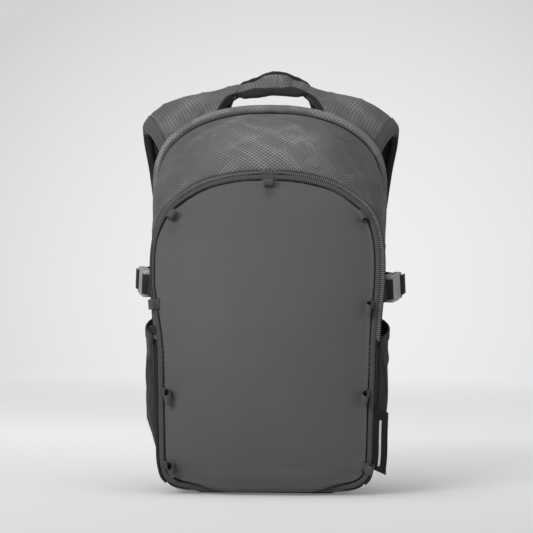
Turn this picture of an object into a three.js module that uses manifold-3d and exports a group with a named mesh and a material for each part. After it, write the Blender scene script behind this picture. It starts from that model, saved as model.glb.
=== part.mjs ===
// Daypack of about 20 litres, standing upright: a panel-loading body with an arch zip round
// its smooth front flap, webbing lash loops, a rip-stop top and sides, stretch-mesh side
// pockets, side compression straps with side-release buckles, and a padded yoke harness
// with a grab handle, shoulder straps, ladder-lock adjusters and a sternum strap.
// Millimetres. +Z up, -Y the front of the pack, +Y the side that rests on the wearer's back.
import * as THREE from 'three';
import { mergeVertices } from 'three/addons/utils/BufferGeometryUtils.js';
import Module from 'manifold-3d';

const wasm = await Module();
wasm.setup();

// ---------------------------------------------------------------- driving dimensions
const FABRIC_T = 2.4;          // thickness of a sewn fabric wall
const BACK_Y = 56;             // plane of the seam between gusset and back panel
const BACK_T = 9.5;            // foam back panel
const HINGE_Z = 182;           // the zip's two ends: the flap folds down about this line
const EDGE_INSET = 8.4;        // front panel's edge, inwards from the zip's centre line
const BINDING_R = 3.0;         // covered binding along the flap's edge
const COIL_R = 1.25;           // one half of the zip's coil
const PIPING_R = 3.1;          // lower front piping
const ROLL_R = 4.3;            // padded roll along the top seam
const LOOP_W = 12;             // lash loop webbing width
const LOOP_H = 11;             // lash loop stand-off
const LOOP_L = 11.5;           // lash loop length over the panel
const LOOP_T = 1.5;            // lash loop webbing thickness
const STRAP_T = 11;            // padded shoulder strap
const WEB_W = 25;              // side and shoulder webbing width
const WEB_T = 2.0;             // webbing thickness
const STERNUM_W = 20;          // sternum webbing width
const POCKET_BOTTOM = 5.2;     // row where the side pocket is sewn in, above the base
const GAP = 0.4;               // clearance between neighbouring solids

// Seam lines, right half, from the bottom centre up the side and over to the top centre:
// [front x, front y, front z, back x, back z, outward bulge of the gusset between them]
const SEAM = [
  [0, -60, 5, 0, 8, 0], [45, -60, 5, 45, 8, 0], [80, -60, 6, 80, 9, 0], [106, -61, 9, 103, 13, 1],
  [121, -64, 18.5, 115, 26, 2], [126.5, -68, 35, 119, 42, 2], [128, -74, 80, 122.5, 82, 4],
  [129, -78, 130, 126, 130, 6], [131, -77, 200, 130, 200, 6], [135.5, -70, 255, 132.5, 256, 6],
  [135.5, -60, 292, 134.8, 305, 6.5], [131, -51, 319, 136.4, 352, 8], [122, -44.5, 339.5, 135, 396, 11],
  [104, -38, 356.5, 124, 422, 13], [80, -34, 371, 98, 444.5, 15], [52, -31.5, 379.5, 64, 458.5, 16],
  [26, -30.3, 383.3, 32, 464.5, 16], [0, -30, 384.5, 0, 466, 16],
];
// Side profile of the front: [z, y at the panel's edge, y on the centre line]
const PROFILE = [
  [0, -60, -64], [10, -61, -73], [30, -66, -84], [60, -71, -94], [100, -76, -101], [150, -78, -104],
  [200, -77, -101], [250, -71, -93], [300, -57.5, -79], [340, -44.3, -61], [365, -35.6, -46], [380, -31.3, -35], [386, -30, -30.4],
];
// Shoulder strap, right side, from the seam behind the top roll, over the shoulder and down:
// [inner edge x, y, z, outer edge x, y, z, crown across the strap], on the outer face
const STRAP = [
  [61, 68, 452, 129, 68, 394, 0], [60, 69.5, 473, 137, 71, 413, 4], [43, 80, 495, 152, 82, 440, 11],
  [38.5, 97, 506, 163, 98, 451, 13], [45, 114, 498, 163, 114, 438, 11], [56, 124, 464, 156, 123, 400, 7],
  [68, 128, 413, 150, 126, 360, 4], [75, 127, 353, 144, 123, 314, 3], [80, 119, 289, 140, 114, 263, 3],
  [86, 106, 220, 134, 101, 208, 2], [95, 93, 168, 127, 90, 166, 1],
];
const SPLIT_IN = 5.45, SPLIT_OUT = 3.55;   // rows, on its inner and outer edge, where the strap stops being yoke and starts to swing
const SPLIT_GAP = 0.22;                    // rows of clearance there at the inner edge, so that the strap can swing back

// ---------------------------------------------------------------- helpers
const V = (x, y, z) => new THREE.Vector3(x, y, z);
const lerp = (a, b, t) => a + (b - a) * t;
function table(rows, z, col) {
  if (z <= rows[0][0]) return rows[0][col];
  for (let i = 1; i < rows.length; i++)
    if (z <= rows[i][0]) {
      const t = (z - rows[i - 1][0]) / (rows[i][0] - rows[i - 1][0]);
      const p0 = rows[Math.max(0, i - 2)][col], p1 = rows[i - 1][col], p2 = rows[i][col];
      return lerp(p1, p2, t) + 0 * p0;
    }
  return rows[rows.length - 1][col];
}
const spline = (pts) => new THREE.CatmullRomCurve3(pts, false, 'centripetal');
const at = (curve, i) => curve.getPoint(THREE.MathUtils.clamp(i / (curve.points.length - 1), 0, 1));

const frontCurve = spline(SEAM.map((s) => V(s[0], s[1], s[2])));
const backCurve = spline(SEAM.map((s) => V(s[3], BACK_Y, s[4])));
const bulgeCurve = spline(SEAM.map((s, i) => V(i, s[5], 0)));
const side = (p, j) => (j < 0 ? V(-p.x, p.y, p.z) : p);
// j is a signed row of SEAM: negative on the left of the pack, positive on the right
const F = (j) => side(at(frontCurve, Math.abs(j)), j);
const B = (j) => side(at(backCurve, Math.abs(j)), j);

// Closed solid over a patch: nu x nv cells, f(u, v) a point of the outer face, thickness inwards.
function finish(geometry) {
  geometry.deleteAttribute('normal');
  geometry.deleteAttribute('uv');
  let g = mergeVertices(geometry, 1e-4);
  const p = g.attributes.position, ix = g.index.array;
  let vol = 0;
  const a = V(0, 0, 0), b = V(0, 0, 0), c = V(0, 0, 0);
  for (let i = 0; i < ix.length; i += 3) {
    a.fromBufferAttribute(p, ix[i]); b.fromBufferAttribute(p, ix[i + 1]); c.fromBufferAttribute(p, ix[i + 2]);
    vol += a.dot(b.cross(c));
  }
  if (vol < 0) for (let i = 0; i < ix.length; i += 3) [ix[i + 1], ix[i + 2]] = [ix[i + 2], ix[i + 1]];
  g.computeVertexNormals();
  return g;
}
function patch(f, nu, nv, low, high) {
  const g = new THREE.BoxGeometry(1, 1, 1, nu, nv, 1);
  const p = g.attributes.position, e = 1e-3;
  for (let i = 0; i < p.count; i++) {
    const u = p.getX(i) + 0.5, v = p.getY(i) + 0.5, w = p.getZ(i) > 0 ? high : low;
    const u0 = Math.max(0, u - e), u1 = Math.min(1, u + e), v0 = Math.max(0, v - e), v1 = Math.min(1, v + e);
    const du = f(u1, v).sub(f(u0, v)), dv = f(u, v1).sub(f(u, v0));
    const n = du.cross(dv).normalize();
    const q = f(u, v).addScaledVector(n, w);
    p.setXYZ(i, q.x, q.y, q.z);
  }
  return finish(g);
}
// Round tube along points, and a flat ribbon along points with its width along `across`.
function tube(points, r, sides, steps) {
  const curve = new THREE.CatmullRomCurve3(points, false, 'centripetal');
  const frames = curve.computeFrenetFrames(steps, false);
  const g = new THREE.CylinderGeometry(1, 1, 1, sides, steps);
  const p = g.attributes.position;
  for (let i = 0; i < p.count; i++) {
    const k = Math.round((p.getY(i) + 0.5) * steps);
    const c = curve.getPointAt(k / steps);
    const q = c.addScaledVector(frames.normals[k], p.getX(i) * r).addScaledVector(frames.binormals[k], p.getZ(i) * r);
    p.setXYZ(i, q.x, q.y, q.z);
  }
  return finish(g);
}
function ribbon(points, across, width, thick, steps) {
  const curve = new THREE.CatmullRomCurve3(points, false, 'centripetal');
  const a = across.clone().normalize();
  return patch((u, v) => curve.getPointAt(THREE.MathUtils.clamp(v, 0, 1)).addScaledVector(a, (u - 0.5) * width), 1, steps, -thick / 2, thick / 2);
}
function roundedRect(w, h, r) {
  const s = new THREE.Shape(), x = -w / 2, y = -h / 2;
  s.moveTo(x + r, y); s.lineTo(x + w - r, y); s.absarc(x + w - r, y + r, r, -Math.PI / 2, 0);
  s.lineTo(x + w, y + h - r); s.absarc(x + w - r, y + h - r, r, 0, Math.PI / 2);
  s.lineTo(x + r, y + h); s.absarc(x + r, y + h - r, r, Math.PI / 2, Math.PI);
  s.lineTo(x, y + r); s.absarc(x + r, y + r, r, Math.PI, 1.5 * Math.PI);
  return s;
}
const extrude = (shape, depth, seg = 4) => {
  const g = new THREE.ExtrudeGeometry(shape, { depth, bevelEnabled: false, curveSegments: seg });
  return g;
};
// manifold-3d join and cut
function solid(geometry) {
  const g = geometry.clone();
  g.deleteAttribute('normal'); g.deleteAttribute('uv');
  const m = mergeVertices(g, 1e-4);
  return new wasm.Manifold(new wasm.Mesh({ numProp: 3, vertProperties: m.attributes.position.array, triVerts: new Uint32Array(m.index.array) }));
}
function back(manifold) {
  const m = manifold.getMesh(), v = new Float32Array(m.numVert * 3);
  for (let i = 0; i < m.numVert; i++) v.set(m.vertProperties.subarray(i * m.numProp, i * m.numProp + 3), i * 3);
  const g = new THREE.BufferGeometry().setAttribute('position', new THREE.BufferAttribute(v, 3));
  g.setIndex(new THREE.BufferAttribute(new Uint32Array(m.triVerts), 1));
  g.computeVertexNormals();
  return g;
}
const box = (w, d, h, x = 0, y = 0, z = 0) => new THREE.BoxGeometry(w, d, h).translate(x, y, z);
const cut = (a, ...bs) => back(bs.reduce((m, b) => m.subtract(solid(b)), solid(a)));
const join = (a, ...bs) => back(bs.reduce((m, b) => m.add(solid(b)), solid(a)));

// ---------------------------------------------------------------- materials
const mat = (color, roughness, metalness = 0) => new THREE.MeshStandardMaterial({ color, roughness, metalness });
const M = {
  coated: mat(0x565654, 0.62), ripstop: mat(0x666662, 0.6), lining: mat(0x3d3e40, 0.7), mesh: mat(0x2b2b2a, 0.85),
  binding: mat(0x4a4a48, 0.75), webbing: mat(0x3a3a39, 0.8), loop: mat(0x50504e, 0.75), coil: mat(0x7b7b78, 0.45),
  plastic: mat(0x6f706e, 0.35), airmesh: mat(0x2f3030, 0.9), foam: mat(0x5a5b5c, 0.9), sheet: mat(0xd8d8d4, 0.5), label: mat(0x262626, 0.7),
};
const root = new THREE.Group();
function add(name, geometry, material, parent = root) {
  const m = new THREE.Mesh(geometry, material);
  m.name = name;
  parent.add(m);
  return m;
}

// ---------------------------------------------------------------- body shell
// Point of the gusset at seam row j, s = 0 on the front seam and 1 on the back seam.
function gusset(j, s) {
  const e = 0.02, sg = j < 0 ? -1 : 1, i = Math.abs(j);
  const f = at(frontCurve, i), b = at(backCurve, i), c = b.clone().sub(f);
  const i1 = Math.min(i + e, 17), i0 = Math.max(i - e, 0);
  const t = at(frontCurve, i1).sub(at(frontCurve, i0)).add(at(backCurve, i1)).sub(at(backCurve, i0));
  const n = c.clone().cross(t).normalize();
  const h = at(bulgeCurve, i).y, k = Math.pow(s, 0.88);
  const q = f.addScaledVector(c, s).addScaledVector(n, h * 4 * k * (1 - k));
  return V(q.x * sg, q.y, q.z);
}
const chord = (j) => B(j).sub(F(j)).length();
// Side panels, and one top panel over both shoulders.
for (const [name, sg] of [['left_side_panel', -1], ['right_side_panel', 1]])
  add(name, patch((u, v) => {
    const j = sg * lerp(3.55, 9.55, v), L = chord(j);
    return gusset(j, lerp(6.0 / L, 1 - 3 / L, u));
  }, 6, 14, sg > 0 ? -FABRIC_T : 0, sg > 0 ? 0 : FABRIC_T), M.ripstop);
{
  const J = (v) => (v < 0.5 ? -lerp(9.65, 17, v * 2) : lerp(17, 9.65, (v - 0.5) * 2));
  add('top_panel', patch((u, v) => {
    const j = J(v), L = chord(j);
    return gusset(j === 0 ? 1e-6 : j, lerp(4.6 / L, 1 - 3 / L, u));
  }, 8, 32, 0, FABRIC_T), M.ripstop);
}
// Bottom panel: a shallow tray between the two lower seams, with the flat base that the pack stands on
add('bottom_panel', join(patch((u, v) => {
  const j = lerp(-3.47, 3.47, v), L = chord(j);
  return gusset(j, lerp(6.0 / L, 1 - 3 / L, u));
}, 4, 24, 0, FABRIC_T), extrude(roundedRect(178, 96, 38), 8, 5).translate(0, -3, 0)), M.lining);

// Front surface through (x, z)
const widthRows = SEAM.map((s) => [s[2], s[0]]);
function halfWidth(z) {
  if (z < 30) return lerp(112, 121, Math.max(0, z) / 30);
  for (let i = 5; i < 17; i++)
    if (z <= widthRows[i + 1][0] || i === 16) {
      const t = THREE.MathUtils.clamp((z - widthRows[i][0]) / (widthRows[i + 1][0] - widthRows[i][0]), 0, 1);
      return lerp(widthRows[i][1], widthRows[i + 1][1], t);
    }
  return 1;
}
function frontY(x, z) {
  const e = table(PROFILE, z, 1), c = table(PROFILE, z, 2);
  const r = Math.min(1, Math.abs(x) / Math.max(6, halfWidth(z)));
  return lerp(c, e, Math.pow(r, 2.3));
}
// Point inset by d from the front seam at row j, on the front surface, with its frame.
function edge(j, d) {
  const i = Math.abs(j), sg = j < 0 ? -1 : 1, e = 0.05;
  const a = at(frontCurve, Math.max(0, i - e)), b = at(frontCurve, Math.min(17, i + e));
  const t = V((b.x - a.x), 0, (b.z - a.z)).normalize();
  if (i < 0.06) t.set(1, 0, 0);
  if (i > 16.95) t.set(-1, 0, 0);
  const inward = V(-t.z, 0, t.x);
  const f = at(frontCurve, i), x = (f.x + inward.x * d), z = f.z + inward.z * d;
  return V(sg * x, Math.abs(d) < 1e-6 ? f.y : lerp(f.y, frontY(x, z), Math.min(1, Math.abs(d) / EDGE_INSET)), z);
}
function rowAt(z) {
  let lo = 5, hi = 17;
  for (let k = 0; k < 40; k++) { const m = (lo + hi) / 2; if (at(frontCurve, m).z < z) lo = m; else hi = m; }
  return lo;
}
// Coons patch of the front panel between z0 and an outline
function flapPoint(u, v) {
  const jh = rowAt(HINGE_Z + 1.2), jc = 11.3;
  const left = (t) => edge(-lerp(jh, jc, t), EDGE_INSET), right = (t) => edge(lerp(jh, jc, t), EDGE_INSET);
  const top = (t) => (t < 0.5 ? edge(-lerp(jc, 17, t * 2), EDGE_INSET) : edge(lerp(17, jc, (t - 0.5) * 2), EDGE_INSET));
  const bl = left(0), br = right(0), tl = left(1), tr = right(1);
  const bot = bl.clone().lerp(br, u);
  const P = (k) => {
    const c = lerp(bot[k], top(u)[k], v) + lerp(left(v)[k], right(v)[k], u)
      - (lerp(lerp(bl[k], br[k], u), lerp(tl[k], tr[k], u), v));
    return c;
  };
  const x = P('x'), z = P('z');
  return V(x, frontY(x, z), z);
}
add('front_flap', patch(flapPoint, 24, 16, 0, -FABRIC_T), M.coated);
add('front_lower_panel', patch((u, v) => {
  const jh = rowAt(HINGE_Z - 1.2), jc = 3.62;
  const side = (t) => EDGE_INSET + 0.45 * Math.pow(1 - t, 6);   // a little further in at the corners, clear of the piping
  const left = (t) => edge(-lerp(jc, jh, t), side(t)), right = (t) => edge(lerp(jc, jh, t), side(t));
  const bottom = (t) => edge(lerp(-jc, jc, t), EDGE_INSET - 1.0 + 1.45 * Math.pow(Math.abs(2 * t - 1), 6));
  const bl = left(0), br = right(0), tl = left(1), tr = right(1), top = tl.clone().lerp(tr, u);
  const P = (k) => lerp(bottom(u)[k], top[k], v) + lerp(left(v)[k], right(v)[k], u) - lerp(lerp(bl[k], br[k], u), lerp(tl[k], tr[k], u), v);
  const x = P('x'), z = P('z');
  return V(x, frontY(x, z), z);
}, 24, 12, 0, -FABRIC_T), M.coated);

// Bindings, coil halves and pipings along the seams
function seamPoints(j0, j1, n, d, out = 0) {
  const pts = [];
  for (let k = 0; k <= n; k++) {
    const j = lerp(j0, j1, k / n), q = edge(j, d);
    pts.push(q.add(V(0, -out, 0)));
  }
  return pts;
}
const JH = rowAt(HINGE_Z + 2.5);
const overTop = (d, out, j0 = JH) => {
  const a = seamPoints(-j0, -17, 30, d, out), b = seamPoints(17, j0, 30, d, out);
  return a.concat(b.slice(1));
};
add('flap_binding', join(tube(overTop(5.2, 0.6), BINDING_R, 8, 56), tube(overTop(1.9, 0.4), COIL_R, 6, 56)), M.binding);
add('zipper_chain', tube(overTop(-1.55, 0.2), COIL_R, 6, 60), M.coil);
{
  const j = rowAt(HINGE_Z - 2.5);
  add('front_piping', tube(seamPoints(-j, j, 60, 4.6, 0.4), PIPING_R, 8, 64), M.binding);
}
{
  const pts = [], n = 28;
  for (let k = 0; k <= 2 * n; k++) {
    const i = k <= n ? lerp(9.9, 17, k / n) : lerp(17, 9.9, (k - n) / n), sg = k <= n ? -1 : 1, e = 0.05;
    const a = at(backCurve, i - e), b = at(backCurve, Math.min(17, i + e)), t = V(b.x - a.x, 0, b.z - a.z).normalize();
    const p = at(backCurve, i), q = V(p.x + t.z * 3.6, BACK_Y + 1.6, p.z - t.x * 3.6);
    pts.push(V(sg * q.x, q.y, q.z));
  }
  add('top_roll', tube(pts, ROLL_R, 8, 48), M.ripstop);
}

// ---------------------------------------------------------------- back
function backOutline(d, z0 = -1e9, z1 = 1e9, n = 40) {
  const pts = [];
  for (let k = 0; k <= n; k++) {
    const i = lerp(0, 17, k / n), e = 0.05;
    const a = at(backCurve, Math.max(0, i - e)), b = at(backCurve, Math.min(17, i + e)), t = V(b.x - a.x, 0, b.z - a.z).normalize();
    const p = at(backCurve, i);
    pts.push([Math.max(0, p.x - t.z * d), THREE.MathUtils.clamp(p.z + t.x * d, z0, z1)]);
  }
  pts[0][0] = 0; pts[n][0] = 0;
  const s = new THREE.Shape();
  s.moveTo(0, pts[0][1]);
  for (let k = 1; k <= n; k++) s.lineTo(pts[k][0], pts[k][1]);
  for (let k = n - 1; k > 0; k--) s.lineTo(-pts[k][0], pts[k][1]);
  s.closePath();
  return s;
}
// A plate in the XZ plane, from y0 to y0 + t
const plateXZ = (shape, y0, t, seg = 4) => extrude(shape, t, seg).rotateX(Math.PI / 2).translate(0, y0 + t, 0);
add('back_panel', plateXZ(backOutline(4.2, -1e9, 1e9, 30), BACK_Y + 0.6, BACK_T), M.foam);
add('frame_sheet', plateXZ(backOutline(20, 20, 430, 24), BACK_Y - 2.8, 2.0), M.sheet);
for (const [name, sg] of [['back_pad_left', -1], ['back_pad_right', 1]]) {
  const g = new THREE.BoxGeometry(1, 1, 1, 8, 14, 1), p = g.attributes.position, y0 = BACK_Y + 0.6 + BACK_T + GAP;
  for (let i = 0; i < p.count; i++) {
    const u = p.getX(i) * 2, v = p.getY(i) * 2, high = p.getZ(i) > 0;
    const corner = 1 - 0.12 * u * u * v * v;
    const x = sg * 62 + u * (42 - 5 * Math.pow(v, 4)) * corner, z = 215 + v * 157 * corner;
    const d = 2.0 + 11 * Math.pow(Math.max(0, 1 - Math.pow(u, 4)), 0.6) * Math.pow(Math.max(0, 1 - Math.pow(v, 8)), 0.6);
    p.setXYZ(i, x, y0 + (high ? d : 0), z);
  }
  add(name, finish(g), M.airmesh);
}

// Inner sleeve for a water bladder or tablet, open at its top
add('inner_sleeve', plateXZ((() => {
  const s = roundedRect(226, 286, 26);
  return s;
})(), 0, 1.6, 4).translate(0, 40, 164), M.lining);

// ---------------------------------------------------------------- lash loops
function loopGeometry() {
  const outer = roundedRect(LOOP_L, LOOP_H, 3.6), inner = roundedRect(LOOP_L - 2 * LOOP_T, LOOP_H - 2 * LOOP_T, 2.3);
  outer.holes.push(new THREE.Path(inner.getPoints(3)));
  const s = new THREE.Shape(outer.getPoints(3));
  s.holes.push(new THREE.Path(inner.getPoints(3)));
  return new THREE.ExtrudeGeometry(s, { depth: LOOP_W, bevelEnabled: false }).translate(LOOP_L / 2, LOOP_H / 2, -LOOP_W / 2);
}
function surfaceFrame(j, d) {
  const p = edge(j, d), e = 1;
  const px = V(p.x + e, frontY(p.x + e, p.z), p.z).sub(V(p.x - e, frontY(p.x - e, p.z), p.z));
  const pz = V(p.x, frontY(p.x, p.z + e), p.z + e).sub(V(p.x, frontY(p.x, p.z - e), p.z - e));
  const n = px.cross(pz).normalize();
  if (n.y > 0) n.negate();
  const q = edge(j, d + 4), inward = q.sub(p);
  inward.addScaledVector(n, -inward.dot(n)).normalize();
  const t = inward.clone().cross(n).normalize();
  return { p, n, inward, t };
}
const LOOPS = { top_center: 16.9999, upper_left: -12, upper_right: 12, mid_left: -8.45, mid_right: 8.45,
  lower_left: -6.85, lower_right: 6.85, bottom_left: -4.95, bottom_right: 4.95 };
for (const [name, j] of Object.entries(LOOPS)) {
  const f = surfaceFrame(j, EDGE_INSET + 0.9);
  const m = new THREE.Matrix4().makeBasis(f.inward, f.n, f.inward.clone().cross(f.n));
  const o = f.p.clone().addScaledVector(f.n, 1.1 + 0.9);
  m.setPosition(o);
  add('loop_' + name, loopGeometry().applyMatrix4(m), M.loop);
}

// ---------------------------------------------------------------- side pockets
for (const [name, sg] of [['left', -1], ['right', 1]]) {
  const top = (u) => lerp(7.83, 8.2, u);                     // pocket mouth, higher at the back
  const stand = (u, v) => 2.2 + 13 * Math.pow(Math.sin(Math.PI * THREE.MathUtils.clamp(u, 0, 1)), 0.7)
    * Math.pow(Math.min(1, v * 3), 0.8) * (1 - 0.34 * THREE.MathUtils.smoothstep(v, 0.45, 1));
  const f = (v0, v1, extra) => (u, v) => {
    const w = lerp(v0, v1, v), j = sg * lerp(POCKET_BOTTOM, top(u), w), s = lerp(0.065, 0.955, u), e = 0.02;
    const a = gusset(j, s), du = gusset(j, s + e).sub(gusset(j, s - e)), dj = gusset(j + e, s).sub(gusset(j - e, s));
    const n = du.cross(dj).normalize();
    if (n.x * sg < 0) n.negate();
    return a.addScaledVector(n, stand(u, w) + extra);
  };
  const lo = sg > 0 ? 0 : -1.4, hi = sg > 0 ? 1.4 : 0;
  add(name + '_mesh_pocket', patch(f(0, 0.945, 0), 10, 12, lo, hi), M.mesh);
  add(name + '_pocket_binding', patch(f(0.952, 1.0, -0.4), 10, 2, sg > 0 ? 0 : -2.4, sg > 0 ? 2.4 : 0), M.binding);
}

// ---------------------------------------------------------------- side-release buckle
// Local frame: x across the webbing, y from the socket's webbing bar to the plug's, z the face.
function buckle(prefix, k, parent, offset = {}) {
  const female = cut(
    extrude(roundedRect(33, 29, 4.5), 9, 3).translate(0, 14.5, -4.5),
    box(26, 24, 5.2, 0, 9 + 12, 0), box(26.4, 4.2, 12, 0, 4.2, 0),
    box(6, 9.5, 5.2, 15.4, 17.2, 0), box(6, 9.5, 5.2, -15.4, 17.2, 0)).scale(k, k, k);
  add(prefix + '_socket', female, M.plastic, parent);
  const male = join(
    cut(extrude(roundedRect(32, 12.4, 3.5), 8, 3).translate(0, 29.6 + 6.2, -4), box(26.4, 4.2, 12, 0, 37.4, 0)),
    box(5.2, 19, 3.2, 0, 21.2, 0)).scale(k, k, k);
  add(prefix + '_plug', male, M.plastic, parent);
  for (const [n, sg] of [['a', 1], ['b', -1]]) {
    const s = new THREE.Shape();
    s.moveTo(sg * 8.6, 29.2); s.lineTo(sg * 7.8, 13.4); s.lineTo(sg * 9.4, 10.8); s.lineTo(sg * 12.6, 14.6);
    s.lineTo(sg * 12.6, 20.4); s.lineTo(sg * 11.4, 21.4); s.lineTo(sg * 12.2, 29.2); s.closePath();
    add(prefix + '_arm_' + n, extrude(s, 4, 2).translate(0, 0, -2).scale(k, k, k), M.plastic, parent);
  }
}
// Side compression straps: front webbing, buckle, rear webbing, one set on each side.
const BUCKLE_DIRS = { left: V(0.25, 0.95, 0.15).normalize(), right: V(0.36, 0.92, 0.15).normalize() };   // the left one lies flatter
const BUCKLE_Z = { left: 250, right: 246 };   // the right strap is slacker, so its buckle hangs lower
for (const [name, sg] of [['left', -1], ['right', 1]]) {
  const dir = BUCKLE_DIRS[name].clone().multiply(V(sg, 1, 1));
  const o = V(sg * 144.4, -46, BUCKLE_Z[name]);
  const up = V(0, 0, 1).addScaledVector(dir, -dir.z).normalize();
  const face = up.clone().cross(dir).normalize();
  if (face.x * sg < 0) face.negate();
  // x across = up (or down so that the frame is right-handed), y = dir, z = face
  const across = dir.clone().cross(face).normalize();
  const group = new THREE.Group();
  group.applyMatrix4(new THREE.Matrix4().makeBasis(across, dir, face).setPosition(o));
  root.add(group);
  buckle(name + '_buckle', 1, group);
  const seam = gusset(sg * rowAt(BUCKLE_Z[name] - 4), 0.115), out = V(sg, 0, 0);
  const a = seam.clone().addScaledVector(out, 2.1);
  const end = o.clone().addScaledVector(dir, -0.9);
  add(name + '_strap_front', ribbon([a, a.clone().lerp(end, 0.5).addScaledVector(out, -0.8), end], up, WEB_W, WEB_T, 4), M.webbing);
  const c = o.clone().addScaledVector(dir, 43.0);
  const r = gusset(sg * rowAt(BUCKLE_Z[name] + 10), 0.955).addScaledVector(out, 2.9);
  add(name + '_strap_rear', ribbon([c, c.clone().addScaledVector(dir, 7), c.clone().lerp(r, 0.5).addScaledVector(out, 5.5), r], up, WEB_W, WEB_T, 8), M.webbing);
}

// ---------------------------------------------------------------- zip slider and pull, left end
{
  const jA = rowAt(HINGE_Z + 14), p = F(-jA), q = F(-rowAt(262));
  const dir = q.clone().sub(p).normalize();
  const out = V(-0.93, -0.37, 0); out.addScaledVector(dir, -out.dot(dir)).normalize();
  const across = dir.clone().cross(out).normalize();
  const o = p.clone().addScaledVector(out, 5.45);
  const group = new THREE.Group();
  group.applyMatrix4(new THREE.Matrix4().makeBasis(across, dir, out).setPosition(o));
  root.add(group);
  const body = join(extrude(roundedRect(8.4, 11, 2.6), 3.6, 3).translate(0, 0, -1.8), box(2.4, 7.5, 2.6, 0, 0, 2.8));
  add('zip_slider', body, M.plastic, group);
  add('zip_pull', cut(extrude(roundedRect(5, 30, 2.2), 2.6, 3).translate(0, -17.5, 4.8), box(1.8, 3, 8, 0, -29, 6)), M.webbing, group);
}

// ---------------------------------------------------------------- yoke, straps, handle
const innerCurve = spline(STRAP.map((s) => V(s[0], s[1], s[2])));
const outerCurve = spline(STRAP.map((s) => V(s[3], s[4], s[5])));
const crownCurve = spline(STRAP.map((s, i) => V(i, s[6], 0)));
function strapPoint(sg, u, q) {
  const a = at(innerCurve, q), b = at(outerCurve, q), e = 0.03;
  const q0 = Math.max(0, q - e), q1 = Math.min(10, q + e);
  const t = at(innerCurve, q1).sub(at(innerCurve, q0)).add(at(outerCurve, q1)).sub(at(outerCurve, q0));
  const n = t.cross(b.clone().sub(a)).normalize();       // outwards: front, then up, then back
  const h = at(crownCurve, q).y * Math.sin(Math.PI * Math.pow(u, 1.7));
  const p = a.lerp(b, u).addScaledVector(n, -h);
  return V(sg * p.x, p.y, p.z);
}
for (const [name, sg] of [['left', -1], ['right', 1]]) {
  const lo = sg > 0 ? -STRAP_T : 0, hi = sg > 0 ? 0 : STRAP_T;
  const split = (u) => lerp(SPLIT_IN, SPLIT_OUT, u);
  add(name + '_yoke', patch((u, v) => strapPoint(sg, u, lerp(0, split(u) - 0.03, v)), 8, 12, lo, hi), M.ripstop);
  add(name + '_shoulder_strap', patch((u, v) => strapPoint(sg, u, lerp(split(u) + lerp(SPLIT_GAP, 0.04, Math.min(1, u * 1.2)), 10, v)), 6, 16, lo, hi), M.ripstop);
}
// Grab handle between the yoke's two inner corners
add('grab_handle', patch((u, v) => {
  const x = lerp(-35, 35, v), k = 1 - Math.pow(x / 35, 2);
  const c = V(x, lerp(91, 88, k), lerp(496, 505.5, k));
  const w = V(0, lerp(0.8, 0.42, k), lerp(0.6, 0.91, k)).normalize();
  return c.addScaledVector(w, (u - 0.5) * 27).add(V(0, -4, 0));
}, 3, 12, -8, 0), M.ripstop);

// Ladder locks and lower webbing
for (const [name, sg] of [['left', -1], ['right', 1]]) {
  const lock = cut(extrude(roundedRect(33, 23, 4), 6, 3).rotateX(Math.PI / 2).translate(0, 3, 0),
    box(26, 12, 3.6, 0, 0, 6.4), box(26, 12, 3.6, 0, 0, -0.4), box(26, 12, 3.6, 0, 0, -7)).translate(sg * 111, 86, 152.5);
  add(name + '_ladder_lock', lock, M.plastic);
  const pts = [V(sg * 111, 86, 140.2), V(sg * 112.5, 80, 112), V(sg * 116, 72.5, 76), V(sg * 119, 68.2, 46), V(sg * 119, 67.8, 36)];
  add(name + '_lower_webbing', ribbon(pts, V(1, 0, 0), WEB_W, WEB_T, 8), M.webbing);
}

// ---------------------------------------------------------------- sternum strap
const STERNUM_Z = 330, STERNUM_Y = 133;
{
  const group = new THREE.Group(), k = 0.76;
  // across = -z, strap direction = -x, face = +y
  group.applyMatrix4(new THREE.Matrix4().makeBasis(V(0, 0, -1), V(-1, 0, 0), V(0, 1, 0)).setPosition(V(17, STERNUM_Y, STERNUM_Z)));
  root.add(group);
  buckle('sternum', k, group);
  for (const [name, sg, x0] of [['left', -1, 16.3], ['right', 1, 17.7]]) {
    add('sternum_webbing_' + name, ribbon([V(sg * x0, STERNUM_Y, STERNUM_Z), V(sg * 45, STERNUM_Y - 1.2, STERNUM_Z), V(sg * 83.4, STERNUM_Y - 0.2, STERNUM_Z)], V(0, 0, 1), STERNUM_W, 1.8, 4), M.webbing);
    add('sternum_clip_' + name, extrude(roundedRect(17, 25, 4), 4.6, 3).rotateX(Math.PI / 2 - 0.1).translate(sg * 92.6, STERNUM_Y + 1.6, STERNUM_Z), M.plastic);
  }
}

// ---------------------------------------------------------------- plain sewn tab on the right seam
add('side_tab', patch((u, v) => {
  const z = lerp(28, 102, v), j = rowAt(Math.max(z, 37));
  const a = at(frontCurve, j);
  const x = lerp(a.x + 1.2, a.x + 17.5 - 4 * (1 - v), u);
  return V(x, lerp(a.y - 4.4, a.y - 1.0, u), z - 6 * u * (1 - v) + 3 * (1 - u) * v);
}, 4, 6, 0, 1.4), M.label);

export default root;
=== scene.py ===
# Looks of the daypack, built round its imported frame. Lengths in this file are in millimetres
# until a mesh is made, where they become metres.
import bpy, bmesh, math
import numpy as np
from mathutils import Vector, Matrix


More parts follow.
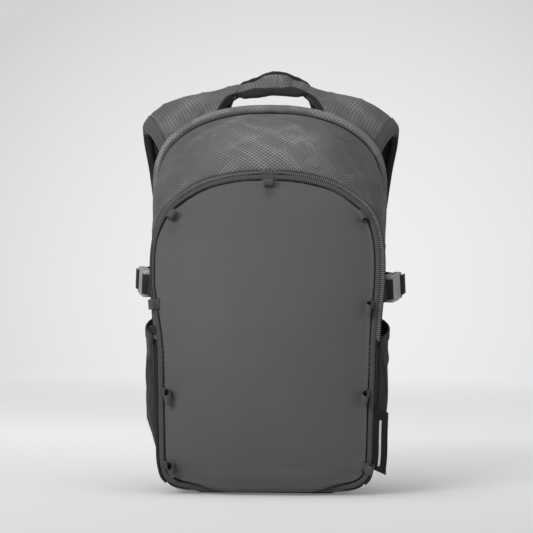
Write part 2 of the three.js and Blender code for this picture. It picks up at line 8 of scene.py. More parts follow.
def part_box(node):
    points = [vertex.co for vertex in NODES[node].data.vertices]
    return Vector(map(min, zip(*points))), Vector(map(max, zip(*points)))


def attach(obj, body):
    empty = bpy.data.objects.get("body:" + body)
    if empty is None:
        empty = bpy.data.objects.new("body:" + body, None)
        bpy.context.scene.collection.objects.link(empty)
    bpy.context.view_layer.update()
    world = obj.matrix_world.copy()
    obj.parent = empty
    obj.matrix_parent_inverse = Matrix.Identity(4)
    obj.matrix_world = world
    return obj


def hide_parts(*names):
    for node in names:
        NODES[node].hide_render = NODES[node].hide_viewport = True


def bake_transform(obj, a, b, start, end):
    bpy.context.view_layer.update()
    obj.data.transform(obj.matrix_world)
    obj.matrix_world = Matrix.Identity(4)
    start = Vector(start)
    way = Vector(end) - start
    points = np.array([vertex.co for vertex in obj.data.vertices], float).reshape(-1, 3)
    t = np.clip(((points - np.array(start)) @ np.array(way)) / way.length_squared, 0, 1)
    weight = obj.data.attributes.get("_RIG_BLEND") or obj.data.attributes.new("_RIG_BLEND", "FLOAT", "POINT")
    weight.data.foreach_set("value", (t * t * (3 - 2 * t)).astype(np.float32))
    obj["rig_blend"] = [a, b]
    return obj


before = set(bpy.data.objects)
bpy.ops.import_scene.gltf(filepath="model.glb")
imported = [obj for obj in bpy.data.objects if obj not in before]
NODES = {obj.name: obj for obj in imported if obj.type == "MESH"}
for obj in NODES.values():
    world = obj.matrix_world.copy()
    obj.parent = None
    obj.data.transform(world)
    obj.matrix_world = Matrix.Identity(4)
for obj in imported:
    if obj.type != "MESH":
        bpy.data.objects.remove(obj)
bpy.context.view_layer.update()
MM = 0.001
RNG = np.random.RandomState(7)

# ------------------------------------------------------------------ shape of the pack, as in the frame
EDGE_INSET, BACK_Y, HINGE_Z = 8.4, 56.0, 182.0
SEAM = np.array([
  [0, -60, 5, 0, 8, 0], [45, -60, 5, 45, 8, 0], [80, -60, 6, 80, 9, 0], [106, -61, 9, 103, 13, 1],
  [121, -64, 18.5, 115, 26, 2], [126.5, -68, 35, 119, 42, 2], [128, -74, 80, 122.5, 82, 4],
  [129, -78, 130, 126, 130, 6], [131, -77, 200, 130, 200, 6], [135.5, -70, 255, 132.5, 256, 6],
  [135.5, -60, 292, 134.8, 305, 6.5], [131, -51, 319, 136.4, 352, 8], [122, -44.5, 339.5, 135, 396, 11],
  [104, -38, 356.5, 124, 422, 13], [80, -34, 371, 98, 444.5, 15], [52, -31.5, 379.5, 64, 458.5, 16],
  [26, -30.3, 383.3, 32, 464.5, 16], [0, -30, 384.5, 0, 466, 16]], float)
PROFILE = np.array([
  [0, -60, -64], [10, -61, -73], [30, -66, -84], [60, -71, -94], [100, -76, -101], [150, -78, -104],
  [200, -77, -101], [250, -71, -93], [300, -57.5, -79], [340, -44.3, -61], [365, -35.6, -46], [380, -31.3, -35], [386, -30, -30.4]], float)
STRAP = np.array([
  [61, 68, 452, 129, 68, 394, 0], [60, 69.5, 473, 137, 71, 413, 4], [43, 80, 495, 152, 82, 440, 11],
  [38.5, 97, 506, 163, 98, 451, 13], [45, 114, 498, 163, 114, 438, 11], [56, 124, 464, 156, 123, 400, 7],
  [68, 128, 413, 150, 126, 360, 4], [75, 127, 353, 144, 123, 314, 3], [80, 119, 289, 140, 114, 263, 3],
  [86, 106, 220, 134, 101, 208, 2], [95, 93, 168, 127, 90, 166, 1]], float)
STRAP_T = 11.0


class Curve:
    """Centripetal Catmull-Rom curve through rows of points, asked by row number."""
    def __init__(s, pts):
        s.p = np.asarray(pts, float)
        q = np.vstack([2 * s.p[0] - s.p[1], s.p, 2 * s.p[-1] - s.p[-2]])
        s.q, s.n = q, len(s.p)
        d = np.sqrt(np.linalg.norm(np.diff(q, axis=0), axis=1))
        s.d = np.where(d < 1e-4, 1.0, d)
    def __call__(s, t):
        t = np.clip(np.asarray(t, float), 0, s.n - 1)
        i = np.minimum(np.floor(t).astype(int), s.n - 2)
        w = (t - i)[..., None]
        x0, x1, x2, x3 = (s.q[i + k] for k in range(4))
        d0, d1, d2 = (s.d[i + k][..., None] for k in range(3))
        t1 = ((x1 - x0) / d0 - (x2 - x0) / (d0 + d1) + (x2 - x1) / d1) * d1
        t2 = ((x2 - x1) / d1 - (x3 - x1) / (d1 + d2) + (x3 - x2) / d2) * d1
        return x1 + t1 * w + (-3 * x1 + 3 * x2 - 2 * t1 - t2) * w ** 2 + (2 * x1 - 2 * x2 + t1 + t2) * w ** 3


FC, BC = Curve(SEAM[:, :3]), Curve(np.c_[SEAM[:, 3], np.full(18, BACK_Y), SEAM[:, 4]])
BULGE = Curve(np.c_[np.arange(18), SEAM[:, 5], np.zeros(18)])
INNER, OUTER = Curve(STRAP[:, :3]), Curve(STRAP[:, 3:6])
CROWN = Curve(np.c_[np.arange(11), STRAP[:, 6], np.zeros(11)])
lerp = lambda a, b, t: a + (b - a) * t
smooth01 = lambda t: (lambda x: x * x * (3 - 2 * x))(np.clip(t, 0, 1))
unit = lambda v: v / np.maximum(np.linalg.norm(v, axis=-1, keepdims=True), 1e-12)


def blurred(a, sigma):
    k = np.arange(-int(4 * sigma), int(4 * sigma) + 1)
    g = np.exp(-k ** 2 / (2 * sigma ** 2)); g /= g.sum()
    left = 2 * a[0] - a[1:len(k) // 2 + 1][::-1]; right = 2 * a[-1] - a[-len(k) // 2:-1][::-1]
    return np.convolve(np.r_[left, a, right], g, mode="same")[len(left):len(left) + len(a)]


ZZ = np.arange(-20, 401, 1.0)
E_TAB = blurred(np.interp(ZZ, PROFILE[:, 0], PROFILE[:, 1]), 7)
C_TAB = blurred(np.interp(ZZ, PROFILE[:, 0], PROFILE[:, 2]), 9)
_j = np.linspace(4.5, 17, 1500); _f = FC(_j)
W_TAB = np.interp(ZZ, _f[:, 2], _f[:, 0]); W_TAB[ZZ < 30] = lerp(112, 121, np.clip(ZZ[ZZ < 30], 0, 30) / 30)
W_TAB = blurred(np.maximum(W_TAB, 1), 3)


def front_y(x, z):
    e, c, w = np.interp(z, ZZ, E_TAB), np.interp(z, ZZ, C_TAB), np.interp(z, ZZ, W_TAB)
    r = np.minimum(1, np.abs(x) / np.maximum(6, w))
    return lerp(c, e, r ** 2.3)


def front_normal(x, z):
    e = 1.0
    dx = (front_y(x + e, z) - front_y(x - e, z)) / (2 * e); dz = (front_y(x, z + e) - front_y(x, z - e)) / (2 * e)
    return unit(np.stack([dx, -np.ones_like(dx), dz], -1))


ROLL_Z = [165, 190, 209, 232, 246, 300, 315, 340, 365]; ROLL_W = [0, .25, .6, .85, 1, 1, .78, .35, 0]
def edge(j, d):
    j = np.asarray(j, float); d = np.broadcast_to(np.asarray(d, float), j.shape)
    i, sg, e = np.abs(j), np.where(j < 0, -1.0, 1.0), 0.05
    a, b = FC(np.maximum(0, i - e)), FC(np.minimum(17, i + e))
    tx, tz = b[..., 0] - a[..., 0], b[..., 2] - a[..., 2]
    n = np.hypot(tx, tz) + 1e-9; tx, tz = tx / n, tz / n
    tx, tz = np.where(i < .06, 1, np.where(i > 16.95, -1, tx)), np.where((i < .06) | (i > 16.95), 0, tz)
    f = FC(i); x, z = f[..., 0] - tz * d, f[..., 2] + tx * d
    # the left edge is rolled outwards at mid height, so the zip goes round the corner there
    w = np.where(j < 0, np.interp(z, ROLL_Z, ROLL_W), 0.0); x = x + 7.0 * w * smooth01((d + 1) / 7)
    y = lerp(f[..., 1], front_y(x, z), np.minimum(1, np.abs(d) / EDGE_INSET)) + 5.0 * w * (1 - smooth01((d + 2) / 6))
    return np.stack([sg * x, y, z], -1)


def gusset(j, s, extra=0.0):
    j, s = np.broadcast_arrays(np.asarray(j, float), np.asarray(s, float))
    i, sg, e = np.abs(j), np.where(j < 0, -1.0, 1.0), 0.03
    f, b = FC(i), BC(i); c = b - f
    i1, i0 = np.minimum(i + e, 17), np.maximum(i - e, 0)
    t = FC(i1) - FC(i0) + BC(i1) - BC(i0)
    n = unit(np.cross(c, t)); h = BULGE(i)[..., 1]; k = np.clip(s, 0, 1) ** 0.88
    q = f + c * s[..., None] + n * (h * 4 * k * (1 - k) + extra)[..., None]
    q[..., 0] *= sg
    return q


def strap_point(sg, u, q, lift=0.0):
    u, q = np.broadcast_arrays(np.asarray(u, float), np.asarray(q, float))
    a, b, e = INNER(q), OUTER(q), 0.06
    q0, q1 = np.maximum(0, q - e), np.minimum(10, q + e)
    t = INNER(q1) - INNER(q0) + OUTER(q1) - OUTER(q0)
    n = unit(np.cross(t, b - a))
    h = CROWN(q)[..., 1] * np.sin(np.pi * np.clip(u, 0, 1) ** 1.7)
    p = a + (b - a) * u[..., None] - n * (h + lift)[..., None]
    p[..., 0] *= sg
    m = -n.copy(); m[..., 0] *= sg
    return p, m


# ------------------------------------------------------------------ smooth noise on a lattice
_LAT = np.random.RandomState(11).rand(64, 64, 64)
def noise3(p, scale, seed=0):
    """Value noise in -1..1 at points p (mm), with features of about `scale` mm."""
    p = np.asarray(p, float) / scale + seed * 7.31
    i = np.floor(p).astype(int); f = p - i; f = f * f * f * (f * (f * 6 - 15) + 10)
    out = 0
    for dx in (0, 1):
        for dy in (0, 1):
            for dz in (0, 1):
                w = (f[..., 0] if dx else 1 - f[..., 0]) * (f[..., 1] if dy else 1 - f[..., 1]) * (f[..., 2] if dz else 1 - f[..., 2])
                out = out + w * _LAT[(i[..., 0] + dx) % 64, (i[..., 1] + dy) % 64, (i[..., 2] + dz) % 64]
    return out * 2 - 1
def ridge(p, scale, seed=0):
    """Sharp folds: 1 along thin lines, falling to 0."""
    return 1 - np.abs(noise3(p, scale, seed)) * 2.2


# ------------------------------------------------------------------ meshes
class Build:
    def __init__(s):
        s.v, s.f, s.uv, s.m, s.n = [], [], [], [], 0
    def verts(s, p):
        p = np.asarray(p, float).reshape(-1, 3); b = s.n
        s.v.append(p); s.n += len(p); return b
    def quads(s, a, b, c, d, ua, ub, uc, ud, mat):
        f = np.stack([a, b, c, d], -1).reshape(-1, 4); uv = np.stack([ua, ub, uc, ud], -2).reshape(-1, 4, 2)
        s.f.append(f); s.uv.append(uv); s.m.append(np.full(len(f), mat))
    def grid(s, base, nv, nu, U, V, cu=False, cv=False, mat=0, flip=False):
        I, J = np.meshgrid(np.arange(nu if cu else nu - 1), np.arange(nv if cv else nv - 1))
        g = lambda jj, ii: base + (jj % nv) * nu + (ii % nu)
        t = lambda jj, ii: np.stack([U[jj, ii], V[jj, ii]], -1)
        A = (g(J, I), g(J, I + 1), g(J + 1, I + 1), g(J + 1, I)); T = (t(J, I), t(J, I + 1), t(J + 1, I + 1), t(J + 1, I))
        if flip: A, T = A[::-1], T[::-1]
        s.quads(*A, *T, mat)
    def fan(s, idx, uv, mat):
        """n-gon as a strip of quads and triangles through its middle."""
        n = len(idx); h = n // 2
        for k in range(h - 1 + n % 2):
            a, b, c, d = idx[k], idx[k + 1], idx[(n - 2 - k) % n], idx[(n - 1 - k) % n]
            q = [a, b, c, d]; u = [uv[k], uv[k + 1], uv[(n - 2 - k) % n], uv[(n - 1 - k) % n]]
            if len(set(q)) < 4:
                keep = [i for i in range(4) if q.index(q[i]) == i]
                if len(keep) < 3: continue
                q, u = [q[i] for i in keep], [u[i] for i in keep]
            s.f.append(np.array([q + [-1] * (4 - len(q))])); s.uv.append(np.array([u + [u[0]] * (4 - len(u))], float)); s.m.append(np.array([mat]))
    def make(s, name, mats, smooth=True, outward=True, angle=None):
        v = np.concatenate(s.v) * MM; f = np.concatenate(s.f); uv = np.concatenate(s.uv); m = np.concatenate(s.m)
        size = np.where(f[:, 3] < 0, 3, 4); mask = f >= 0
        loops = f[mask]; luv = uv[mask]
        me = bpy.data.meshes.new(name)
        me.vertices.add(len(v)); me.vertices.foreach_set("co", v.astype(np.float32).ravel())
        me.loops.add(len(loops)); me.loops.foreach_set("vertex_index", loops.astype(np.int32))
        me.polygons.add(len(f)); me.polygons.foreach_set("loop_start", np.r_[0, np.cumsum(size)[:-1]].astype(np.int32))
        me.polygons.foreach_set("material_index", m.astype(np.int32))
        me.polygons.foreach_set("use_smooth", np.full(len(f), smooth))
        me.update(calc_edges=True)
        layer = me.uv_layers.new(name="UVMap"); layer.data.foreach_set("uv", (luv * MM).astype(np.float32).ravel())
        me.validate()
        for x in mats: me.materials.append(x)
        if outward:
            bm = bmesh.new(); bm.from_mesh(me); bmesh.ops.recalc_face_normals(bm, faces=bm.faces); bm.to_mesh(me); bm.free()
        if angle is not None:
            me.set_sharp_from_angle(angle=math.radians(angle))
        ob = bpy.data.objects.new(name, me)
        bpy.context.scene.collection.objects.link(ob)
        return ob


def arc(P, axis):
    d = np.linalg.norm(np.diff(P, axis=axis), axis=-1)
    z = np.zeros_like(np.take(d, [0], axis=axis))
    return np.concatenate([z, np.cumsum(d, axis=axis)], axis=axis)
def normals(P):
    return unit(np.cross(np.gradient(P, axis=1), np.gradient(P, axis=0)))


def shell(b, P, t, N=None, U=None, V=None, mats=(0, 0, 0), Q=None):
    """Closed shell: outer grid P (nv, nu, 3), inner grid t mm behind it (or Q)."""
    nv, nu = P.shape[:2]
    if U is None: U = arc(P, 1) ; U = U - U.mean(axis=1, keepdims=True)
    if V is None: V = np.repeat(arc(P.mean(1, keepdims=True), 0), nu, 1)
    if Q is None: Q = P - (normals(P) if N is None else N) * (t if np.ndim(t) == 0 else t[..., None])
    o, i = b.verts(P), b.verts(Q)
    b.grid(o, nv, nu, U, V, mat=mats[0]); b.grid(i, nv, nu, U, V, mat=mats[1], flip=True)
    for rows, cols, flip in (((0,), range(nu), True), ((nv - 1,), range(nu), False), (range(nv), (0,), False), (range(nv), (nu - 1,), True)):
        idx = np.array([r * nu + c for r in rows for c in cols])
        uu = U.ravel()[idx]; vv = V.ravel()[idx]
        a, c = idx[:-1], idx[1:]
        T = np.stack([uu, vv], -1)
        A = (o + a, o + c, i + c, i + a); TT = (T[:-1], T[1:], T[1:], T[:-1])
        if flip: A, TT = A[::-1], TT[::-1]
        b.quads(*A, *TT, mats[2])
    return o, i


def sweep(b, C, W, N, prof, closed=False, mat=0, scale=None, u0=None, caps=True, v0=0.0):
    """Sweeps a closed profile (k, 2: along W, along N) down the path C."""
    C, W, N = (np.asarray(x, float) for x in (C, W, N))
    prof = np.asarray(prof, float); n, k = len(C), len(prof)
    pr = np.broadcast_to(prof, (n, k, 2)) if prof.ndim == 2 else prof
    if scale is not None: pr = pr * np.asarray(scale, float).reshape(n, 1, -1)
    P = C[:, None] + W[:, None] * pr[..., :1] + N[:, None] * pr[..., 1:]
    ring = np.concatenate([pr[0], pr[0][:1]]); uu = np.r_[0, np.cumsum(np.linalg.norm(np.diff(ring, axis=0), axis=1))] if u0 is None else u0
    vv = np.r_[0, np.cumsum(np.linalg.norm(np.diff(np.concatenate([C, C[:1]]) if closed else C, axis=0), axis=1))] + v0
    U, V = np.meshgrid(uu, vv)
    base = b.verts(P); b.grid(base, n, k, U, V, cu=True, cv=closed, mat=mat)
    if not closed and caps:
        for r, fl in ((0, True), (n - 1, False)):
            idx = [base + r * k + q for q in range(k)]; uv = [[pr[r][q][0], pr[r][q][1]] for q in range(k)]
            if fl: idx, uv = idx[::-1], uv[::-1]
            b.fan(idx, uv, mat)
    return base


def rrect(w, h, r, seg=3):
    r = min(r, w / 2 - 1e-3, h / 2 - 1e-3); p = []
    for cx, cy, a0 in ((w / 2 - r, -h / 2 + r, -90), (w / 2 - r, h / 2 - r, 0), (-w / 2 + r, h / 2 - r, 90), (-w / 2 + r, -h / 2 + r, 180)):
        for s in range(seg + 1):
            a = math.radians(a0 + 90 * s / seg); p.append([cx + r * math.cos(a), cy + r * math.sin(a)])
    return np.array(p)
def ellipse(w, h, n=12):
    a = np.linspace(0, 2 * np.pi, n, endpoint=False); return np.stack([np.cos(a) * w / 2, np.sin(a) * h / 2], -1)
def resample(P, n=None, step=None):
    P = np.asarray(P, float); c = Curve(P); t = np.linspace(0, len(P) - 1, 40 * len(P)); q = c(t)
    L = np.r_[0, np.cumsum(np.linalg.norm(np.diff(q, axis=0), axis=1))]
    if n is None: n = max(3, int(round(L[-1] / step)) + 1)
    return np.stack([np.interp(np.linspace(0, L[-1], n), L, q[:, k]) for k in range(3)], -1)
def tangents(C, closed=False):
    if closed: return unit(np.roll(C, -1, 0) - np.roll(C, 1, 0))
    return unit(np.gradient(C, axis=0))


# ------------------------------------------------------------------ materials
def new_mat(name):
    m = bpy.data.materials.new(name); m.use_nodes = True
    nt = m.node_tree; return m, nt, nt.nodes["Principled BSDF"]
class G:
    """Small helper for shader graphs."""
    def __init__(s, nt): s.nt = nt
    def node(s, kind, **kw):
        n = s.nt.nodes.new(kind)
        for k, v in kw.items(): setattr(n, k, v)
        return n
    def put(s, sock, v):
        if isinstance(v, bpy.types.NodeSocket): s.nt.links.new(v, sock)
        else: sock.default_value = v
    def math(s, op, a, b=None, c=None, clamp=False):
        n = s.node("ShaderNodeMath", operation=op, use_clamp=clamp)
        for k, v in enumerate((a, b, c)):
            if v is not None: s.put(n.inputs[k], v)
        return n.outputs[0]
    def uv(s):
        n = s.node("ShaderNodeUVMap"); n.uv_map = "UVMap"; sep = s.node("ShaderNodeSeparateXYZ"); s.nt.links.new(n.outputs[0], sep.inputs[0])
        return n.outputs[0], sep.outputs[0], sep.outputs[1]
    def obj(s):
        return s.node("ShaderNodeTexCoord").outputs["Object"]
    def noise(s, vec, scale, detail=2.0, rough=0.5, dist=0.0):
        n = s.node("ShaderNodeTexNoise"); s.put(n.inputs["Vector"], vec); n.inputs["Scale"].default_value = scale
        n.inputs["Detail"].default_value = detail; n.inputs["Roughness"].default_value = rough; n.inputs["Distortion"].default_value = dist
        return n.outputs["Fac"]
    def ramp(s, fac, stops):
        n = s.node("ShaderNodeValToRGB"); s.put(n.inputs[0], fac)
        while len(n.color_ramp.elements) < len(stops): n.color_ramp.elements.new(0.5)
        for e, (p, c) in zip(n.color_ramp.elements, stops):
            e.position = p; e.color = (c, c, c, 1) if np.isscalar(c) else (*c, 1)
        return n.outputs[0]
    def mix(s, fac, a, b):
        n = s.node("ShaderNodeMix", data_type="RGBA"); s.put(n.inputs[0], fac)
        s.put(n.inputs[6], (*a, 1) if isinstance(a, tuple) else a); s.put(n.inputs[7], (*b, 1) if isinstance(b, tuple) else b)
        return n.outputs[2]
    def range(s, v, a, b, c=0.0, d=1.0, smooth=False):
        n = s.node("ShaderNodeMapRange", interpolation_type="SMOOTHSTEP" if smooth else "LINEAR")
        for k, x in enumerate((v, a, b, c, d)): s.put(n.inputs[k], x)
        return n.outputs[0]
    def bump(s, h, dist, strength=1.0, normal=None):
        n = s.node("ShaderNodeBump"); n.inputs["Distance"].default_value = dist; n.inputs["Strength"].default_value = strength
        s.put(n.inputs["Height"], h)
        if normal is not None: s.put(n.inputs["Normal"], normal)
        return n.outputs[0]
    def lines(s, x, pitch, width, soft=None):
        """1 on lines at every multiple of pitch, 0 between them."""
        d = s.math("PINGPONG", s.math("ADD", x, 10.0), pitch / 2)
        return s.range(d, width / 2, width / 2 + (soft or width * 0.5), 1.0, 0.0, smooth=True)


def grey(v): return (v, v * 0.995, v * 0.97)
def finish_mat(p, g, color, rough, normal=None, sheen=0.0, spec=0.5, coat=0.0):
    g.put(p.inputs["Base Color"], color if not isinstance(color, tuple) else (*color, 1))
    g.put(p.inputs["Roughness"], rough)
    p.inputs["Sheen Weight"].default_value = sheen; p.inputs["Sheen Roughness"].default_value = 0.45
    p.inputs["Specular IOR Level"].default_value = spec
    p.inputs["Coat Weight"].default_value = coat
    if normal is not None: g.put(p.inputs["Normal"], normal)


def fabric(name, base, pitch=0.45, rough=0.62, var=0.08, bumpd=0.00012, sheen=0.15, spec=0.4):
    """Plain or coated weave: warp and weft threads, faint mottling, a little lint."""
    m, nt, p = new_mat(name); g = G(nt); uv, u, v = g.uv(); P = pitch * MM
    a = g.math("PINGPONG", g.math("ADD", u, 10.0), P / 2); b = g.math("PINGPONG", g.math("ADD", v, 10.0), P / 2)
    h = g.math("MULTIPLY", g.math("MAXIMUM", a, b), 1.0 / (P / 2))
    n1 = g.noise(g.obj(), 14.0, 3, 0.55); n2 = g.noise(g.obj(), 900.0, 1)
    k = g.math("ADD", g.range(n1, 0.3, 0.7, 1 - var, 1 + var), g.math("MULTIPLY", g.math("SUBTRACT", n2, 0.5), var * 1.6))
    col = g.mix(1.0, (0, 0, 0), grey(base)); mul = g.node("ShaderNodeMix", data_type="RGBA", blend_type="MULTIPLY"); mul.inputs[0].default_value = 1.0
    g.put(mul.inputs[6], col); comb = g.node("ShaderNodeCombineColor"); [g.put(comb.inputs[i], k) for i in range(3)]; g.put(mul.inputs[7], comb.outputs[0])
    nrm = g.bump(h, bumpd * 1.0, 0.5)
    nrm = g.bump(n1, 0.0006, 0.25, nrm)
    finish_mat(p, g, mul.outputs[2], g.range(n1, 0.3, 0.7, rough - 0.05, rough + 0.06), nrm, sheen, spec)
    return m


def ripstop(name, base, line=1.35, pitch=4.3, rough=0.5, angle=45.0, ku=1.0, painted_glint=3.4, seed=0.0, painted_light_centre=None):
    """Rip-stop weave: a diamond grid of heavier threads under a half-gloss coat, with painted highlights: the thread
    lines are lightened in the colour in strips along one set of threads or the other, as if a fold turned them to the
    light. Given a point, it also paints a pool of highlight round it and painted shade on the side towards +x."""
    m, nt, p = new_mat(name); g = G(nt); uv, u, v = g.uv(); c = math.cos(math.radians(angle)); s = math.sin(math.radians(angle))
    u = g.math("MULTIPLY", u, ku)
    a = g.math("ADD", g.math("MULTIPLY", u, c), g.math("MULTIPLY", v, s)); b = g.math("SUBTRACT", g.math("MULTIPLY", v, c), g.math("MULTIPLY", u, s))
    La, Lb = g.lines(a, pitch * MM, 0.50 * MM, 0.45 * MM), g.lines(b, pitch * MM, 0.50 * MM, 0.45 * MM); L = g.math("MAXIMUM", La, Lb)
    cell = g.math("MULTIPLY", g.math("MULTIPLY", g.math("PINGPONG", g.math("ADD", a, 10.0), pitch * MM / 2), 2 / (pitch * MM)), g.math("MULTIPLY", g.math("PINGPONG", g.math("ADD", b, 10.0), pitch * MM / 2), 2 / (pitch * MM)))
    # painted highlight: noise strips, one set along each family of threads, inside which the thread lines are lightened
    # in the colour
    def strip(x, y, k):
        w = g.node("ShaderNodeCombineXYZ"); g.put(w.inputs[0], g.math("MULTIPLY", x, 46.0)); g.put(w.inputs[1], g.math("MULTIPLY", y, 15.0)); w.inputs[2].default_value = seed + k
        return g.noise(w.outputs[0], 1.0, 2, 0.5)
    pa, pb = g.range(strip(a, b, 0.0), 0.47, 0.66, smooth=True), g.range(strip(b, a, 5.3), 0.47, 0.66, smooth=True)
    n1 = g.noise(g.obj(), 22.0, 4, 0.6, 0.6); n2 = g.noise(g.obj(), 800.0, 1); n3 = g.noise(g.obj(), 75.0, 2, 0.5, 0.3)
    # painted highlight: round the given point the lightened strips are stronger and fill in, a pool of painted light in
    # the colour
    if painted_light_centre is not None:
        d = g.node("ShaderNodeVectorMath", operation="DISTANCE"); g.put(d.inputs[0], g.obj()); d.inputs[1].default_value = tuple(x * MM for x in painted_light_centre[:3])
        painted_highlight_near = g.range(d.outputs["Value"], painted_light_centre[3] * 0.35 * MM, painted_light_centre[3] * MM, 1.0, 0.0, smooth=True)
        pa = g.math("ADD", g.math("MULTIPLY", pa, g.range(painted_highlight_near, 0.0, 1.0, 0.30, 0.8)), g.math("MULTIPLY", painted_highlight_near, 0.26)); pb = g.math("ADD", g.math("MULTIPLY", pb, g.range(painted_highlight_near, 0.0, 1.0, 0.30, 0.85)), g.math("MULTIPLY", painted_highlight_near, 0.2))
    k = g.math("ADD", g.range(n1, 0.3, 0.7, 0.88, 1.12), g.math("MULTIPLY", g.math("SUBTRACT", n2, 0.5), 0.14))
    k = g.math("MULTIPLY", k, g.range(cell, 0.0, 0.5, 0.86, 1.10))
    # painted shade: the colour darkens to 0.72 from x = 55 mm to 95 mm, the side of the pack turned from the key light,
    # and the painted strips weaken a little
    if painted_light_centre is not None:
        sx = g.node("ShaderNodeSeparateXYZ"); g.put(sx.inputs[0], g.obj()); k = g.math("MULTIPLY", k, g.range(sx.outputs[0], 0.055, 0.095, 1.0, 0.72, smooth=True)); pa = g.math("MULTIPLY", pa, 0.92); pb = g.math("MULTIPLY", pb, 0.92)
    qa, qb = g.math("MULTIPLY_ADD", pb, 0.45, g.math("MULTIPLY", pa, 0.7)), g.math("MULTIPLY_ADD", pa, 0.45, g.math("MULTIPLY", pb, 0.7))
    # the painted glints: thread lines lightened by the strip masks and added into the colour
    ga = g.math("MULTIPLY", La, g.math("ADD", g.math("MULTIPLY", qa, painted_glint), line - 1.0)); gb = g.math("MULTIPLY", Lb, g.math("ADD", g.math("MULTIPLY", qb, painted_glint), line - 1.0))
    k = g.math("ADD", k, g.math("MAXIMUM", ga, gb))
    comb = g.node("ShaderNodeCombineColor"); bc = grey(base)
    for i in range(3): g.put(comb.inputs[i], g.math("MULTIPLY", k, bc[i]))
    nrm = g.bump(L, 0.00016, 0.9); nrm = g.bump(cell, 0.00022, 0.55, nrm); nrm = g.bump(n3, 0.0014, 0.4, nrm)
    finish_mat(p, g, comb.outputs[0], g.range(n1, 0.25, 0.75, rough - 0.12, rough + 0.14), nrm, 0.1, 0.5)
    return m


def webbing(name, base, rib=1.15, rough=0.7):
    """Narrow woven webbing: ribs along its length and slanted picks across them."""
    m, nt, p = new_mat(name); g = G(nt); uv, u, v = g.uv(); R = rib * MM
    r = g.math("MULTIPLY", g.math("PINGPONG", g.math("ADD", u, 10.0), R / 2), 2 / R)
    w = g.math("MULTIPLY", g.math("PINGPONG", g.math("ADD", g.math("ADD", v, g.math("MULTIPLY", g.math("PINGPONG", g.math("ADD", u, 10.0), R), 0.7)), 10.0), 0.45 * MM), 1 / (0.45 * MM))
    n1 = g.noise(g.obj(), 60.0, 3); h = g.math("ADD", g.math("MULTIPLY", g.math("SQRT", r), 0.8), g.math("MULTIPLY", w, 0.4))
    k = g.math("MULTIPLY", g.range(n1, 0.3, 0.7, 0.9, 1.1), g.range(h, 0.0, 1.1, 0.55, 1.15))
    comb = g.node("ShaderNodeCombineColor"); bc = grey(base)
    for i in range(3): g.put(comb.inputs[i], g.math("MULTIPLY", k, bc[i]))
    finish_mat(p, g, comb.outputs[0], g.range(n1, 0.3, 0.7, rough - 0.06, rough + 0.06), g.bump(h, 0.00035, 0.8), 0.05, 0.25)
    return m


def knit(name, base, pitch=2.0, rough=0.75, open_=0.35, depth=0.0005):
    """Spacer or stretch mesh: staggered holes in a knit."""
    m, nt, p = new_mat(name); g = G(nt); uv, u, v = g.uv(); P = pitch * MM
    a = g.math("SUBTRACT", g.math("PINGPONG", g.math("ADD", u, 10.0), P / 2), P / 4); b = g.math("SUBTRACT", g.math("PINGPONG", g.math("ADD", v, 10.0), P * 0.45), P * 0.225)
    s1 = g.math("MULTIPLY", g.math("MULTIPLY", a, 4 / P), g.math("MULTIPLY", b, 4 / (P * 0.9)))
    hole = g.range(s1, open_ - 0.25, open_ + 0.25, 0.0, 1.0, smooth=True)
    n1 = g.noise(g.obj(), 40.0, 3); n2 = g.noise(g.obj(), 1200.0, 1)
    k = g.math("MULTIPLY", g.range(n1, 0.3, 0.7, 0.85, 1.15), g.range(hole, 0.0, 1.0, 1.25, 0.35))
    k = g.math("ADD", k, g.math("MULTIPLY", g.math("SUBTRACT", n2, 0.5), 0.3))
    comb = g.node("ShaderNodeCombineColor"); bc = grey(base)
    for i in range(3): g.put(comb.inputs[i], g.math("MULTIPLY", k, bc[i]))
    finish_mat(p, g, comb.outputs[0], rough, g.bump(hole, depth, 0.8), 0.08, 0.22)
    for nd in nt.nodes:
        if nd.type == "BUMP": nd.invert = True
    return m


def plastic(name, base, rough=0.38, metal=0.0, spec=0.5):
    """Moulded plastic: fine spark texture and faint flow marks, the roughness varying with the flow marks."""
    m, nt, p = new_mat(name); g = G(nt)
    n1 = g.noise(g.obj(), 2400.0, 1); n2 = g.noise(g.obj(), 90.0, 3, 0.6, 0.8)
    comb = g.node("ShaderNodeCombineColor"); bc = (base, base, base * 0.985)
    for i in range(3): g.put(comb.inputs[i], g.math("MULTIPLY", g.range(n2, 0.3, 0.7, 0.93, 1.07), bc[i]))
    finish_mat(p, g, comb.outputs[0], g.range(n2, 0.3, 0.7, rough - 0.05, rough + 0.07), g.bump(n1, 0.00004, 0.5), 0.0, spec)
    p.inputs["Metallic"].default_value = metal
    return m


def tab_material(name):
    """Black woven tape with a plain pale stripe down it."""
    m, nt, p = new_mat(name); g = G(nt); uv, u, v = g.uv()
    st = g.range(g.math("ABSOLUTE", g.math("SUBTRACT", u, 0.0)), 1.1 * MM, 1.35 * MM, 1.0, 0.0)
    ends = g.math("MULTIPLY", g.range(v, 7 * MM, 7.4 * MM, 0.0, 1.0), g.range(v, 62 * MM, 62.4 * MM, 1.0, 0.0))
    st = g.math("MULTIPLY", st, ends)
    t = g.math("MAXIMUM", g.math("PINGPONG", g.math("ADD", u, 10.0), 0.00018), g.math("PINGPONG", g.math("ADD", v, 10.0), 0.00014))
    n1 = g.noise(g.obj(), 500.0, 2)
    col = g.mix(st, grey(0.012), grey(0.55))
    mul = g.node("ShaderNodeMix", data_type="RGBA", blend_type="MULTIPLY"); mul.inputs[0].default_value = 1.0
    comb = g.node("ShaderNodeCombineColor"); k = g.range(n1, 0.3, 0.7, 0.8, 1.15); [g.put(comb.inputs[i], k) for i in range(3)]
    g.put(mul.inputs[6], col); g.put(mul.inputs[7], comb.outputs[0])
    finish_mat(p, g, mul.outputs[2], 0.75, g.bump(t, 0.0001, 0.6), 0.02, 0.15)
    return m


